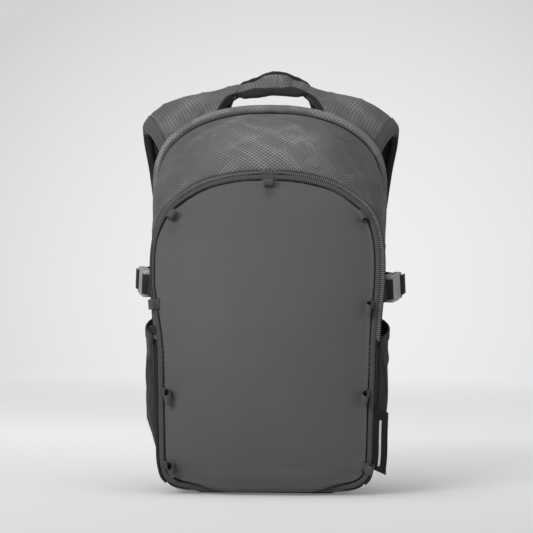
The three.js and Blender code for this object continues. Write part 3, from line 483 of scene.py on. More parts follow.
MAT = dict(
    coated=fabric("coated_panel_fabric", 0.084, 0.40, 0.60, 0.045, 0.00006, 0.12, 0.35),
    # rip-stop body cloth, with a pool of painted highlight at the top middle and painted shade on its right side; every
    # rip-stop colour carries painted glints
    rip=ripstop("ripstop_fabric", 0.066, ku=1.35, line=1.85, painted_glint=4.0, painted_light_centre=(-14, -20, 440, 105)), rip_yoke=ripstop("ripstop_fabric_yoke", 0.074, line=1.75, pitch=4.2, angle=67.0, painted_glint=1.9, seed=9.0),
    # the roll cover is the body's rip-stop in a much lighter colour: painted top light on the roll
    rip_roll_lit=ripstop("ripstop_fabric_roll_painted_light", 0.118, pitch=3.6, angle=35.0, painted_glint=1.5, seed=4.0), under=knit("handle_mesh", 0.026, 1.7, 0.85, 0.2, 0.0006),
    # seam colour: almost black stitching, which along the front binding is painted seam shadow
    seam=fabric("seam_stitching_and_painted_shade", 0.008, 0.6, 0.85, 0.1, 0.0001, 0.0, 0.1),
    lining=fabric("lining_fabric", 0.045, 0.5, 0.6, 0.06, 0.0001),
    binding=fabric("binding_tape", 0.070, 0.7, 0.7, 0.08, 0.00018, 0.2, 0.3),
    piping=fabric("piping_fabric", 0.060, 0.5, 0.78, 0.06, 0.0001, 0.15, 0.35),
    tape=fabric("zip_tape", 0.010, 0.7, 0.75, 0.06, 0.0002, 0.2, 0.3),
    dark=fabric("dark_trim_fabric", 0.020, 0.6, 0.75, 0.10, 0.00018, 0.05, 0.2),
    # the loops' inside colour is almost black: painted shade inside and under the loops
    web=webbing("strap_webbing", 0.022), loopweb=webbing("loop_webbing", 0.088, 1.5), loop_painted_shade=webbing("loop_inside_painted_shade", 0.012, 1.5), yoketape=fabric("yoke_edge_tape", 0.085, 0.7, 0.7, 0.08, 0.00018, 0.2, 0.3), elastic=webbing("elastic_binding", 0.035, 1.6),
    mesh=knit("stretch_mesh", 0.024, 1.5, 0.8, 0.35, 0.0004), air=knit("spacer_mesh", 0.048, 2.6, 0.85, 0.25, 0.0009),
    plastic=plastic("buckle_plastic", 0.40), coil=plastic("zip_coil_nylon", 0.20, 0.4), metal=plastic("zip_slider_paint", 0.035, 0.3, 0.6),
    base=fabric("base_fabric", 0.05, 0.6, 0.65, 0.08, 0.00018, 0.1, 0.35), backmesh=knit("back_panel_mesh", 0.040, 1.8, 0.8, 0.3, 0.0005),
    sheet=plastic("frame_sheet_plastic", 0.6, 0.45), thread=webbing("sewing_thread", 0.09, 0.3, 0.5), tab=tab_material("tab_weave"))

SHEETS = []
def sheet_area(ob, share=0.5):
    a = sum(p.area for p in ob.data.polygons) * share
    return a


# ------------------------------------------------------------------ front panel: one ply across the fold line
def coons(nu, nv, inset, jc=11.3, jb=3.62):
    u, v = np.linspace(0, 1, nu), np.linspace(0, 1, nv)
    left, right = edge(-lerp(jb, jc, v), inset), edge(lerp(jb, jc, v), inset)
    top = edge(np.where(u < 0.5, -lerp(jc, 17, u * 2), lerp(17, jc, (u - 0.5) * 2)), inset)
    top[np.abs(u - .5) < 1e-9] = edge(np.array([17.0]), inset)[0] * [0, 1, 1]
    bot = edge(lerp(-jb, jb, u), inset)
    U, V = u[None, :, None], v[:, None, None]
    P = (1 - V) * bot[None] + V * top[None] + (1 - U) * left[:, None] + U * right[:, None] - (
        (1 - U) * (1 - V) * bot[0] + U * (1 - V) * bot[-1] + (1 - U) * V * top[0] + U * V * top[-1])
    return P


LOOPS = {"top_center": 16.9999, "upper_left": -12, "upper_right": 12, "mid_left": -8.45, "mid_right": 8.45,
         "lower_left": -6.85, "lower_right": 6.85, "bottom_left": -4.95, "bottom_right": 4.95}
LOOP_BODY = {k: ("flap" if k.split("_")[0] in ("top", "upper", "mid") else "pack") for k in LOOPS}


def front_panel():
    P = coons(161, 241, 6.6)
    x, z = P[..., 0], P[..., 2]
    P[..., 1] = front_y(x, z); n = front_normal(x, z)
    # distance in from the edge, for the dip beside the binding and the small puckers along it
    jj = np.r_[np.linspace(-17, 17, 1201)]; E = edge(jj, 6.6)
    flat = P[..., [0, 2]].reshape(-1, 2); best = np.full(len(flat), 1e9); where = np.zeros(len(flat))
    for k in range(0, len(E), 3):
        d = np.hypot(flat[:, 0] - E[k, 0], flat[:, 1] - E[k, 2]); q = d < best
        best[q] = d[q]; where[q] = k
    d = best.reshape(x.shape); s = where.reshape(x.shape) * 1.15
    h = 0.55 * noise3(P, 95, 1) + 0.22 * noise3(P, 42, 2) + 0.5 * noise3(P * [1, 1, 0.55], 26, 6) * smooth01((z - 318) / 50) 
    h += 0.75 * np.exp(-((d - 3.4) / 1.7) ** 2) - 1.6 * np.exp(-(d / 1.9) ** 2)
    pk = noise3(np.stack([s * 1.0, np.zeros_like(s), np.zeros_like(s)], -1), 13, 5)
    h += 0.55 * pk * np.exp(-(d / 11.0) ** 2) * (1 - np.exp(-(d / 3) ** 2))
    for k, j in LOOPS.items():
        c = edge(np.array([float(j)]), 10.5)[0]; r = np.hypot(x - c[0], z - c[2]); h += 0.55 * np.exp(-(r / 7.5) ** 2) - 0.35 * np.exp(-((r - 15) / 6) ** 2)
    h += 0.9 * smooth01((40 - z) / 40) * noise3(P * [1, 1, 0.45], 30, 8) * 0.5
    P = P + n * h[..., None]
    low = smooth01((92 - np.abs(x)) / 42) * np.clip((30 - z) / 19, 0, 1) ** 1.6; P[..., 2] -= 8.6 * low; P[..., 1] -= 1.6 * np.sin(np.pi * np.clip((34 - z) / 24, 0, 1)) * smooth01((100 - np.abs(x)) / 40); P[..., 1] += 2.6 * low ** 2
    b = Build(); U = x - 0.0; V = z.copy()
    shell(b, P, 1.6, U=U, V=V, mats=(0, 1, 0))
    ob = b.make("front_panel", [MAT["coated"], MAT["lining"]])
    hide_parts("front_flap", "front_lower_panel")
    return ob


def blend_fold(ob):
    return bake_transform(ob, "pack", "flap", start=(0, -0.09, 0.171), end=(0, -0.09, 0.193))


def ring_j(n=900, j0=17.0):
    """Rows all round the front seam, from top centre down the left, along the bottom and up the right."""
    a = np.linspace(-j0, j0, n)
    P = edge(a, 5.0); L = np.r_[0, np.cumsum(np.linalg.norm(np.diff(P, axis=0), axis=1))]
    t = np.linspace(0, L[-1], n); return np.interp(t, L, a)


def seam_frames(j, d, lift=0.0):
    C = edge(j, d); n = front_normal(C[:, 0], C[:, 2]); q = edge(j, d + 2.0); w = q - C; w = unit(w - n * (w * n).sum(1, keepdims=True))
    return C + n * lift, w, n


def under_bottom(C, j):
    """Along the bottom the panel rolls over its piping, so the piping sits back and low there."""
    w = smooth01((2.75 - np.abs(j)) / 0.9); return C + np.stack([0 * w, 5.5 * w, -2.2 * w], -1)


def edge_binding():
    """Folded tape round the whole front panel, with dark seam strips on both sides of it: stitching lines made almost
    black as painted seam shadow.
    """
    j = ring_j(901)[:-1]
    C, W, N = seam_frames(j, 4.3, 1.0); C = under_bottom(C, j)
    roll = np.where(j < 0, np.interp(C[:, 2], ROLL_Z, ROLL_W), 0.0); C = C + W * (1.3 * roll)[:, None]
    # cross-section: a rounded roll towards the zip, a flat stitched lip over the panel
    prof = np.array([[-3.2, -1.6], [-3.35, -0.4], [-3.1, 0.7], [-2.4, 1.45], [-1.2, 1.75], [0.5, 1.7], [1.8, 1.4], [2.7, 0.9], [3.25, 0.1], [3.3, -0.8], [3.1, -1.8], [0.0, -2.0]])
    k = noise3(np.stack([np.arange(len(j)) * 1.3, np.zeros(len(j)), np.zeros(len(j))], -1), 9, 3)
    sc = np.stack([(1 + 0.02 * k) * (1 - 0.58 * roll), (1 + 0.07 * k) * (1 - 0.25 * roll)], -1)
    b = Build(); sweep(b, C, W, N, prof, closed=True, mat=0, scale=sc)
    # painted shade: the two thin strips in the seam colour, inside and outside the binding, stand for the seam shadow
    # there
    C, W, N = seam_frames(j, 8.15, -0.25); C = under_bottom(C, j); sweep(b, C, W, N, rrect(1.5, 1.5, 0.5, 2), closed=True, mat=1)
    C, W, N = seam_frames(j, 0.75, 0.7); C = under_bottom(C, j); sweep(b, C, W, N, rrect(1.5, 1.9, 0.4, 2), closed=True, mat=1)
    ob = b.make("edge_binding", [MAT["piping"], MAT["seam"]])
    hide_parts("flap_binding", "front_piping")
    return ob


def stitches(name, C, W, N, pitch=3.1, length=2.3, r=0.28, mat=None, closed=False):
    """Thread stitches as short sunk capsules along a path."""
    L = np.r_[0, np.cumsum(np.linalg.norm(np.diff(C, axis=0), axis=1))]; n = int(L[-1] / pitch)
    t = (np.arange(n) + 0.5) * pitch; at = lambda A, q: np.stack([np.interp(q, L, A[:, k]) for k in range(3)], -1)
    b = Build(); s = np.array([-1, -0.62, 0, 0.62, 1.0]); dip = np.array([-0.30, -0.02, 0.10, -0.02, -0.30]); rad = np.array([0.25, 0.85, 1, 0.85, 0.25]) * r
    prof = ellipse(2, 2, 6)
    Cc = [at(C, t + k * length / 2) for k in s]; Nn, Ww = unit(at(N, t)), unit(at(W, t))
    ring = np.stack([Cc[i][:, None] + Nn[:, None] * (dip[i] + prof[None, :, 1:] * rad[i]) + Ww[:, None] * prof[None, :, :1] * rad[i] for i in range(5)], 1)
    for k in range(n):
        base = b.verts(ring[k]); U, V = np.meshgrid(np.linspace(0, 2, 7), s * length / 2)
        b.grid(base, 5, 6, U, V, cu=True)
        b.fan([base + q for q in range(5, -1, -1)], [[0, 0]] * 6, 0); b.fan([base + 24 + q for q in range(6)], [[0, 0]] * 6, 0)
    return b.make(name, [mat or MAT["thread"]])


def coil(name, sgn, body, node, blendit=False):
    """One half of the zip coil: loops of monofilament at the real pitch, sewn to its tape."""
    jh = JH; a = np.r_[np.linspace(-jh, -17, 500), np.linspace(17, jh, 500)[1:]]
    d0 = -0.35 if sgn > 0 else -2.5
    C, W, N = seam_frames(a, d0, 1.55)
    L = np.r_[0, np.cumsum(np.linalg.norm(np.diff(C, axis=0), axis=1))]; pitch = 2.4; n = int(L[-1] / pitch)
    t = (np.arange(n) + (0.5 if sgn > 0 else 1.0)) * pitch; t = t[t < L[-1] - 0.5]
    at = lambda A: np.stack([np.interp(t, L, A[:, k]) for k in range(3)], -1)
    c, w, nn, tt = at(C), unit(at(W)), unit(at(N)), unit(at(tangents(C)))
    b = Build(); s = np.array([-1.5, -1.2, 0.1, 1.2, 1.5]) * sgn; rad = np.array([0.3, 0.56, 0.56, 0.66, 0.35]); up = np.array([-0.25, 0.05, 0.12, 0.0, -0.2])
    prof = ellipse(2, 2, 6)
    for k in range(len(t)):
        ring = c[k] - w[k] * s[:, None, None] + nn[k] * (up[:, None, None] + prof[None, :, 1:] * rad[:, None, None]) + tt[k] * prof[None, :, :1] * rad[:, None, None] * 1.05
        base = b.verts(ring); U, V = np.meshgrid(np.linspace(0, 3, 7), np.linspace(0, 3, 5))
        b.grid(base, 5, 6, U, V, cu=True)
        b.fan([base + q for q in range(5, -1, -1)], [[0, 0]] * 6, 0); b.fan([base + 24 + q for q in range(6)], [[0, 0]] * 6, 0)
    # woven tape under the loops
    lo, hi = ((-0.2, 4.6) if sgn > 0 else (-4.9, -0.2))
    Ct, Wt, Nt = seam_frames(a, (lo + hi) / 2, 0.05 if sgn > 0 else 0.15)
    sweep(b, Ct, Wt, Nt, rrect(hi - lo, 0.8, 0.3, 2), mat=1)
    ob = b.make(name, [MAT["coil"], MAT["tape"]])
    if node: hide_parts(node)
    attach(ob, body)
    return ob


_jj = np.linspace(5, 17, 4000)
def row_at(z): return float(np.interp(z, FC(_jj)[:, 2], _jj))
JH = row_at(HINGE_Z + 2.5)


def lash_loop(name, j):
    """Webbing folded to a standing loop whose two ends go under the binding, with painted shade: an almost black strip
    inside the loop and an almost black bar-tack block at its foot.
    """
    C = edge(np.array([float(j)]), EDGE_INSET + 0.9)[0]; n = front_normal(C[:1], C[2:3])[0]
    if abs(j) > 16.9: C = C * [0, 1, 1]; n = unit(n * [0, 1, 1])
    w = edge(np.array([float(j)]), EDGE_INSET + 4.9)[0] - edge(np.array([float(j)]), EDGE_INSET + 0.9)[0]
    if abs(j) > 16.9: w = w * [0, 1, 1]
    w = unit(w - n * (w @ n)); t = np.cross(w, n)
    a = np.array([[-2.2, 0.2], [0.4, 0.9], [2.4, 3.2], [3.6, 7.0], [5.6, 10.1], [8.2, 10.9], [10.4, 9.2], [11.0, 6.0], [9.4, 3.0], [6.5, 1.3], [2.5, 0.55], [-2.2, -0.2]])
    if name.startswith(("mid", "lower")): a = a * [0.98, 1.03]
    if name in ("mid_left", "bottom_right"): a = (a - [0.6, 0]) * [-0.88, 0.62]      # these two lie folded outwards over the edge
    path = resample(np.c_[a, np.zeros(len(a))], 44)[:, :2]
    tg = unit(np.gradient(path, axis=0)); nr = np.stack([-tg[:, 1], tg[:, 0]], -1)
    P = C + n * 1.9 + w * path[:, :1] + n * path[:, 1:]
    droop = {"mid_right": 0.62, "lower_left": 0.75, "lower_right": 0.65, "bottom_left": 0.8, "mid_left": 0.15, "bottom_right": 0.3}.get(name, 0.0)
    t = t * (1 if t[2] > 0 else -1); P = P - t * (droop * np.maximum(0, path[:, 1:]))
    NN = w * nr[:, :1] + n * nr[:, 1:]; WW = np.repeat(unit(t + n * 0.35 * min(1, droop * 2))[None], len(P), 0); TT = tangents(P); WW = unit(WW - TT * (WW * TT).sum(1, keepdims=True)); NN = np.cross(TT, WW)
    b = Build(); sweep(b, P, WW, NN, rrect(12, 1.25, 0.55, 2), mat=0)
    # painted shade: a thin, almost black strip just inside the loop for the shade in its hollow
    mid = P[4:-4].mean(0); inn = unit(mid - P); inn = inn - tangents(P) * (inn * tangents(P)).sum(1, keepdims=True)
    sweep(b, (P + unit(inn) * 0.75)[3:-3], WW[3:-3], NN[3:-3], rrect(11.6, 0.5, 0.2, 1), mat=1)
    # painted shade: an almost black bar-tack block at the loop's foot stands for the shadow under the loop
    base = P[0] + w * (1.6 if name not in ("mid_left", "bottom_right") else -1.6) - n * 0.9; sweep(b, np.stack([base - t * 6.6, base - t * 3, base + t * 3, base + t * 6.6]), np.repeat(w[None], 4, 0), np.repeat(n[None], 4, 0), rrect(2.4, 2.2, 0.6, 2), mat=1)
    ob = b.make("lash_loop_" + name, [MAT["loopweb"], MAT["loop_painted_shade"]])
    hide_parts("loop_" + name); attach(ob, LOOP_BODY[name])
    return ob


# ------------------------------------------------------------------ rip-stop body
def crumple(P, amp, seeds, scale=46):
    """Soft dents crossed by a few sharp folds."""
    h = amp * 0.9 * noise3(P, scale * 1.2, seeds) + amp * 0.35 * noise3(P, scale * 0.45, seeds + 1)
    r = np.clip(ridge(P * [1, 1.3, 1], scale, seeds + 2), 0, 1) ** 6
    r2 = np.clip(ridge(P * [1.4, 1, 0.9], scale * 0.6, seeds + 3), 0, 1) ** 7
    return h + amp * 0.8 * r - amp * 0.5 * r2


def gusset_piece(name, j0, j1, nodes, s0, s1, nj, ns, mats, seeds, amp=1.1):
    j = np.linspace(j0, j1, nj) if np.sign(j0) == np.sign(j1) else np.r_[-np.linspace(abs(j0), 17, nj // 2), np.linspace(17, abs(j1), nj // 2)[1:]]
    Lc = np.linalg.norm(BC(np.abs(j)) - FC(np.abs(j)), axis=1)
    s = np.linspace(0, 1, ns)
    S = lerp((s0 / Lc)[:, None], (1 - s1 / Lc)[:, None], s[None])
    J = np.repeat(j[:, None], ns, 1); P = gusset(J, S)
    n = normals(P); mid = P[nj // 4 if nj // 4 < len(P) else 0, ns // 2]
    out = np.sign((n * (P - np.array([0, 0, 200.0]))).sum()); n = n * out
    fade = np.minimum(1, np.minimum(s, 1 - s) * 9)[None] ** 0.8
    h = crumple(P, amp, seeds) * fade
    tuck = -1.3 * (np.exp(-(s * Lc[:, None] / 3.0) ** 2) + np.exp(-((1 - s) * Lc[:, None] / 3.5) ** 2))
    P = P + n * (h + tuck)[..., None]
    Uu = arc(P, 1); Vv = np.repeat(arc(P[:, ns // 2][:, None], 0), ns, 1); Vv = Vv - Vv[len(Vv) // 2]
    b = Build(); shell(b, P, 1.8, N=n, U=Uu, V=Vv, mats=(0, 1, 0))
    ob = b.make(name, mats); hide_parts(*nodes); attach(ob, "pack")
    return ob


def top_roll():
    i = np.r_[np.linspace(9.9, 17, 170), np.linspace(17, 9.9, 170)[1:]]; sg = np.r_[-np.ones(170), np.ones(169)]
    e = 0.05; a, b_ = BC(i - e), BC(np.minimum(17, i + e)); t = b_ - a; t[:, 1] = 0; t = unit(t); p = BC(i)
    C = np.stack([sg * (p[:, 0] + t[:, 2] * 3.6), np.full(len(i), BACK_Y + 1.6), p[:, 2] - t[:, 0] * 3.6], -1); C[169, 0] = 0
    C = resample(C[::6], 420); T = tangents(C); N = unit(np.cross(T, np.array([0, 1.0, 0]))) ; N = N * np.sign((N * (C - [0, 56, 300])).sum(1, keepdims=True)); W = np.cross(T, N)
    q = noise3(np.stack([np.arange(420) * 1.7, np.zeros(420), np.zeros(420)], -1), 17, 4)
    b = Build(); sweep(b, C + N * 0.9, W, N, ellipse(10.4, 10.6, 20), mat=0, scale=np.stack([1 + 0.03 * q, 1 + 0.05 * q], -1))
    # the cover's lighter rip-stop colour is painted top light
    ob = b.make("top_roll_cover", [MAT["rip_roll_lit"]]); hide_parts("top_roll"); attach(ob, "pack")
    b = Build(); sweep(b, C - N * 5.4 - np.array([0, 2.6, 0]), W, N, rrect(2.2, 2.6, 0.6, 2)); s = b.make("top_roll_seam", [MAT["seam"]]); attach(s, "pack")
    return ob



# ------------------------------------------------------------------ base, back, sleeve
def base_cover():
    j = np.linspace(-3.8, 3.8, 156); t = np.linspace(0.012, 0.985, 60)
    J, S = np.meshgrid(j, t, indexing="ij"); P = gusset(J, S)
    x, y = P[..., 0], P[..., 1]
    w = smooth01((96 - np.abs(x)) / 26) * smooth01((52 - np.abs(y + 3)) / 16)
    P[..., 2] = np.maximum(0.9, P[..., 2] - 2.2 * smooth01((3.9 - np.abs(J)) / 0.5) - 5.2 * w) + 0.25 * noise3(P, 26, 51) * (1 - w)
    b = Build(); shell(b, P, 1.8, U=P[..., 0].copy(), V=P[..., 1].copy(), mats=(0, 1, 0), Q=P + np.array([0, 0, 1.9]))
    ob = b.make("base_cover", [MAT["base"], MAT["lining"]]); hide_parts("bottom_panel"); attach(ob, "pack")
    # sewn hem round the base
    for k, s_, nm in ((0, 0.03, "front"), (1, 0.975, "back")):
        q = gusset(np.linspace(-3.3, 3.3, 120), s_); n = np.tile([0, 0, -1.0], (120, 1)); W = np.tile([0, 1.0, 0], (120, 1))
        b = Build(); sweep(b, q + [0, 0, -1.2], W, n, rrect(9, 1.4, 0.5, 2), scale=np.repeat((0.25 + 0.75 * smooth01((3.3 - np.abs(np.linspace(-3.3, 3.3, 120))) / 0.5))[:, None], 2, 1)); o = b.make("base_hem_" + nm, [MAT["binding"]]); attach(o, "pack")


def back_panel():
    j = np.r_[np.linspace(2.7, 4.5, 30), np.linspace(4.5, 17, 170)[1:]]; e = BC(j); nx, nz = [], []
    d = BC(np.minimum(17, j + .05)) - BC(np.maximum(0, j - .05)); L = np.hypot(d[:, 0], d[:, 2]); ins = 4.4
    ex, ez = np.maximum(0, e[:, 0] - d[:, 2] / L * ins), e[:, 2] + d[:, 0] / L * ins
    u = np.sin(np.linspace(-np.pi / 2, np.pi / 2, 71))
    X, Z = u[None] * ex[:, None], np.repeat(ez[:, None], 71, 1)
    edge_d = np.minimum((1 - np.abs(u))[None] * ex[:, None] + 0 * X, np.minimum(Z - ez.min(), (ez.max() - Z) * 1.6 + 0))
    r = np.clip(edge_d / 7, 0, 1); lift = np.sqrt(np.maximum(0, 1 - (1 - r) ** 2))
    Y = 57.4 + 7.6 * lift - 2.4 * np.exp(-(X / 9) ** 2) * lift
    for zc in (90, 170, 250, 330): Y -= 0.0
    P = np.stack([X, Y, Z], -1); P[..., 1] += 0.5 * noise3(P, 45, 61) * lift
    Q = np.stack([X, np.full_like(X, 56.7), Z], -1)
    b = Build(); shell(b, P, 1, U=X, V=Z, mats=(0, 1, 0), Q=Q)
    ob = b.make("back_panel_cover", [MAT["backmesh"], MAT["lining"]]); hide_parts("back_panel"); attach(ob, "pack")
    # two shaped pads with sewn channels across them
    for side, sg in (("left", -1), ("right", 1)):
        nu, nv = 49, 181; U, V = np.meshgrid(np.linspace(-1, 1, nu), np.linspace(-1, 1, nv))
        rr = (np.abs(U) ** 3.2 + np.abs(V) ** 9)
        zc = 215 + 157 * V; xc = 62 + 42 * U * (1 - 0.10 * V ** 2 + 0.03 * V)
        ch = sum(np.exp(-((zc - 215 - k * 78) / 4.2) ** 2) for k in (-1, 0, 1))
        h = np.maximum(0, 1 - np.abs(U) ** 4) ** 0.5 * np.maximum(0, 1 - np.abs(V) ** 14) ** 0.5
        yo = 66.6 + h * (12.6 - 5.6 * ch)
        P = np.stack([sg * xc, yo, zc], -1); P[..., 1] += 0.35 * noise3(P, 20, 71) * h
        Q = P.copy(); Q[..., 1] = 66.0
        b = Build(); shell(b, P, 1, U=sg * xc, V=zc, mats=(0, 0, 0), Q=Q)
        ob = b.make("back_pad_%s_cover" % side, [MAT["air"]]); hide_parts("back_pad_" + side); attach(ob, "pack")
        a = np.linspace(0, 2 * np.pi, 260, endpoint=False); c_, s_ = np.cos(a), np.sin(a)
        x = np.sign(c_) * np.abs(c_) ** 0.45; z = np.sign(s_) * np.abs(s_) ** 0.25
        C = np.stack([sg * (62 + 43.2 * x * (1 - 0.10 * z ** 2 + 0.03 * z)), np.full(260, 66.6), 215 + 158.4 * z], -1)
        T = tangents(C, True); N = np.tile([0, 1.0, 0], (260, 1)); b = Build(); sweep(b, C, np.cross(T, N), N, rrect(3.4, 2.2, 0.9, 3), closed=True)
        o = b.make("back_pad_%s_piping" % side, [MAT["binding"]]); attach(o, "pack")


def sleeve():
    x = np.linspace(-113, 113, 61); z = np.linspace(21, 307, 71); X, Z = np.meshgrid(x, z)
    P = np.stack([X, np.full_like(X, 40.2), Z], -1); P[..., 1] += 0.25 * noise3(P, 60, 81) + 0.9 * smooth01((Z - 250) / 60) * np.cos(X / 113 * np.pi / 2) * -0.6
    b = Build(); shell(b, P, 1, U=X, V=Z, mats=(0, 0, 0), Q=P + np.array([0, 1.3, 0]))
    ob = b.make("inner_sleeve_cover", [MAT["lining"]]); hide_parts("inner_sleeve"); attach(ob, "pack")
    C = np.stack([x, np.full(61, 40.6), np.full(61, 305.0)], -1); C[:, 1] = P[-1, :, 1] + 0.65
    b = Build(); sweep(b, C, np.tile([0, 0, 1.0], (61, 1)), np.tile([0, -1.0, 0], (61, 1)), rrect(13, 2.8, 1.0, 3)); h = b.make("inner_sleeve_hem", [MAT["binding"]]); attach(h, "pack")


# ------------------------------------------------------------------ side pockets
def pockets():
    for side, sg in (("left", -1), ("right", 1)):
        nu, nv = 91, 121; u, v = np.linspace(0, 1, nu), np.linspace(0, 1, nv); U, V = np.meshgrid(u, v)
        top = lerp(7.83, 8.2, U); J = lerp(5.2, top, V * 0.945 / 1.0) ; S = lerp(0.065, 0.955, U)
        def surf(Vw, extra):
            Jw = lerp(5.2, top, Vw); A = gusset(Jw * 1.0, S); n = normals(A); n = n * np.sign((n[..., :1] * 1.0).sum())
            h = 2.2 + 13 * np.sin(np.pi * U) ** 0.7 * np.minimum(1, Vw * 3) ** 0.8 * (1 - 0.34 * smooth01((Vw - 0.45) / 0.55))
            A = A + n * (h + extra)[..., None]; return A, n
        W = V * 0.95
        # gathers: folds that start at the mouth and the lower corners
        f1 = noise3(np.stack([U * 120 + 18 * np.sin(V * 3), V * 26, np.full_like(U, sg * 40.0)], -1), 13, 91)
        f2 = ridge(np.stack([U * 90 + V * 55 * sg, V * 90 - U * 20, np.full_like(U, sg * 17.0)], -1), 34, 93)
        g_ = smooth01((V - 0.35) / 0.6) * 1.0 + smooth01((0.22 - V) / 0.22) * 0.7 + 0.25
        edgef = np.minimum(1, np.minimum(U, 1 - U) * 8) * np.minimum(1, V * 8 + 0.15)
        ex = (2.1 * f1 * g_ + 2.2 * np.clip(f2, 0, 1) ** 3 - 0.8) * edgef
        P, n = surf(W, ex)
        b = Build(); shell(b, P, 1.1, N=n, mats=(0, 0, 0)); P0 = P.copy(); P0[..., 0] *= sg
        b.v = [a * [sg, 1, 1] for a in b.v]
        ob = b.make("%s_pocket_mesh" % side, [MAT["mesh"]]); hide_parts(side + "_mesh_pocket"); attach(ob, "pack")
        # elastic binding at the mouth
        t = np.linspace(0, 1, 140); Uu = t; Vw = np.full_like(t, 0.974); Jw = lerp(5.2, lerp(7.83, 8.2, t), 0.974); Ss = lerp(0.065, 0.955, t)
        def line(vw):
            Jw = lerp(5.2, lerp(7.83, 8.2, t), vw); A = gusset(Jw, Ss); A2 = gusset(Jw + 0.03, Ss); A3 = gusset(Jw, np.clip(Ss + 0.01, 0, 1)); A4 = gusset(Jw, Ss - 0.01)
            n = unit(np.cross(A3 - A4, A2 - A)); n = n * np.sign(n[:, :1].sum())
            h = 2.2 + 13 * np.sin(np.pi * t) ** 0.7 * (1 - 0.34 * smooth01((vw - 0.45) / 0.55)); return A + n * (h)[:, None], n
        C, n = line(0.974); D, _ = line(0.99); W_ = unit(D - C); 
        k = noise3(np.stack([t * 150, np.zeros(140), np.full(140, sg * 9.0)], -1), 4.2, 95)
        b = Build(); sweep(b, C, W_, n, rrect(11.5, 3.0, 1.3, 3), scale=np.stack([1 + 0.02 * k, 1 + 0.16 * k], -1))
        b.v = [a * [sg, 1, 1] for a in b.v]
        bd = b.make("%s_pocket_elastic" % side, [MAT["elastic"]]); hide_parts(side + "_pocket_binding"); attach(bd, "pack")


# ------------------------------------------------------------------ hard parts, with softened edges
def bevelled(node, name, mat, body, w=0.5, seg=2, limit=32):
    src = NODES[node]; me = src.data.copy(); bm = bmesh.new(); bm.from_mesh(me)
    bmesh.ops.remove_doubles(bm, verts=bm.verts, dist=1e-6)
    bmesh.ops.dissolve_limit(bm, angle_limit=math.radians(2), verts=bm.verts, edges=bm.edges)
    ed = [e for e in bm.edges if len(e.link_faces) == 2 and e.calc_face_angle(0) > math.radians(limit)]
    bmesh.ops.bevel(bm, geom=ed, offset=w * MM, offset_type="OFFSET", segments=seg, profile=0.5, affect="EDGES", clamp_overlap=True)
    bmesh.ops.triangulate(bm, faces=[f for f in bm.faces if len(f.verts) > 4])
    bmesh.ops.recalc_face_normals(bm, faces=bm.faces)
    for f in bm.faces: f.smooth = True; f.material_index = 0
    bm.to_mesh(me); bm.free(); me.materials.clear(); me.materials.append(mat); me.name = name
    for n_ in list(me.attributes):
        if n_.name == "sharp_edge": me.attributes.remove(n_)
    me.set_sharp_from_angle(angle=math.radians(50))
    ob = bpy.data.objects.new(name, me); bpy.context.scene.collection.objects.link(ob)
    ob.matrix_world = Matrix.Identity(4)
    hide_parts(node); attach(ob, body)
    return ob


def hard_parts():
    for s_ in ("left", "right"):
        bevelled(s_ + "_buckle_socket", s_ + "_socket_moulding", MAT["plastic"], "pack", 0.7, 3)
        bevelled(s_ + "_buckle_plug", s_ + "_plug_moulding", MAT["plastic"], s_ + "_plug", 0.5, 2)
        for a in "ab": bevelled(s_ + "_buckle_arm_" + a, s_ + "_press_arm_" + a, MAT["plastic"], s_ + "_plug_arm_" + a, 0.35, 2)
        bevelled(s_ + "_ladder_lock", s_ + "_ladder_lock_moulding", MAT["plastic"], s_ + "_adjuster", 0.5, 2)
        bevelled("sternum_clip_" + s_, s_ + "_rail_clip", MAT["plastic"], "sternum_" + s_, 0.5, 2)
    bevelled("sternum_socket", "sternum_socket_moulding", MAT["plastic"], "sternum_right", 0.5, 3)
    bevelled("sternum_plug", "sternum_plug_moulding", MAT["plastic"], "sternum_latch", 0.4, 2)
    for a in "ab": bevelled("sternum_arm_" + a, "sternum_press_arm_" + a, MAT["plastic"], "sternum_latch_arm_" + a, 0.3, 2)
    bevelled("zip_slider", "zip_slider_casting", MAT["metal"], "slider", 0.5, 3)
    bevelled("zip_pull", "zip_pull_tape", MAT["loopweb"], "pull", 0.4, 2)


# ------------------------------------------------------------------ webbing
def ribbon(b, pts, w, width, t=1.7, mat=0, step=2.0, end_curl=0):
    C = resample(pts, step=step); T = tangents(C); W = np.tile(w, (len(C), 1)) if np.ndim(w) == 1 else np.stack([np.interp(np.linspace(0, 1, len(C)), np.linspace(0, 1, len(w)), np.asarray(w)[:, k]) for k in range(3)], -1)
    W = unit(W - T * (W * T).sum(1, keepdims=True)); N = np.cross(T, W)
    sweep(b, C, W, N, rrect(width, t, min(0.7, t * 0.4), 2), mat=mat); return C, W, N


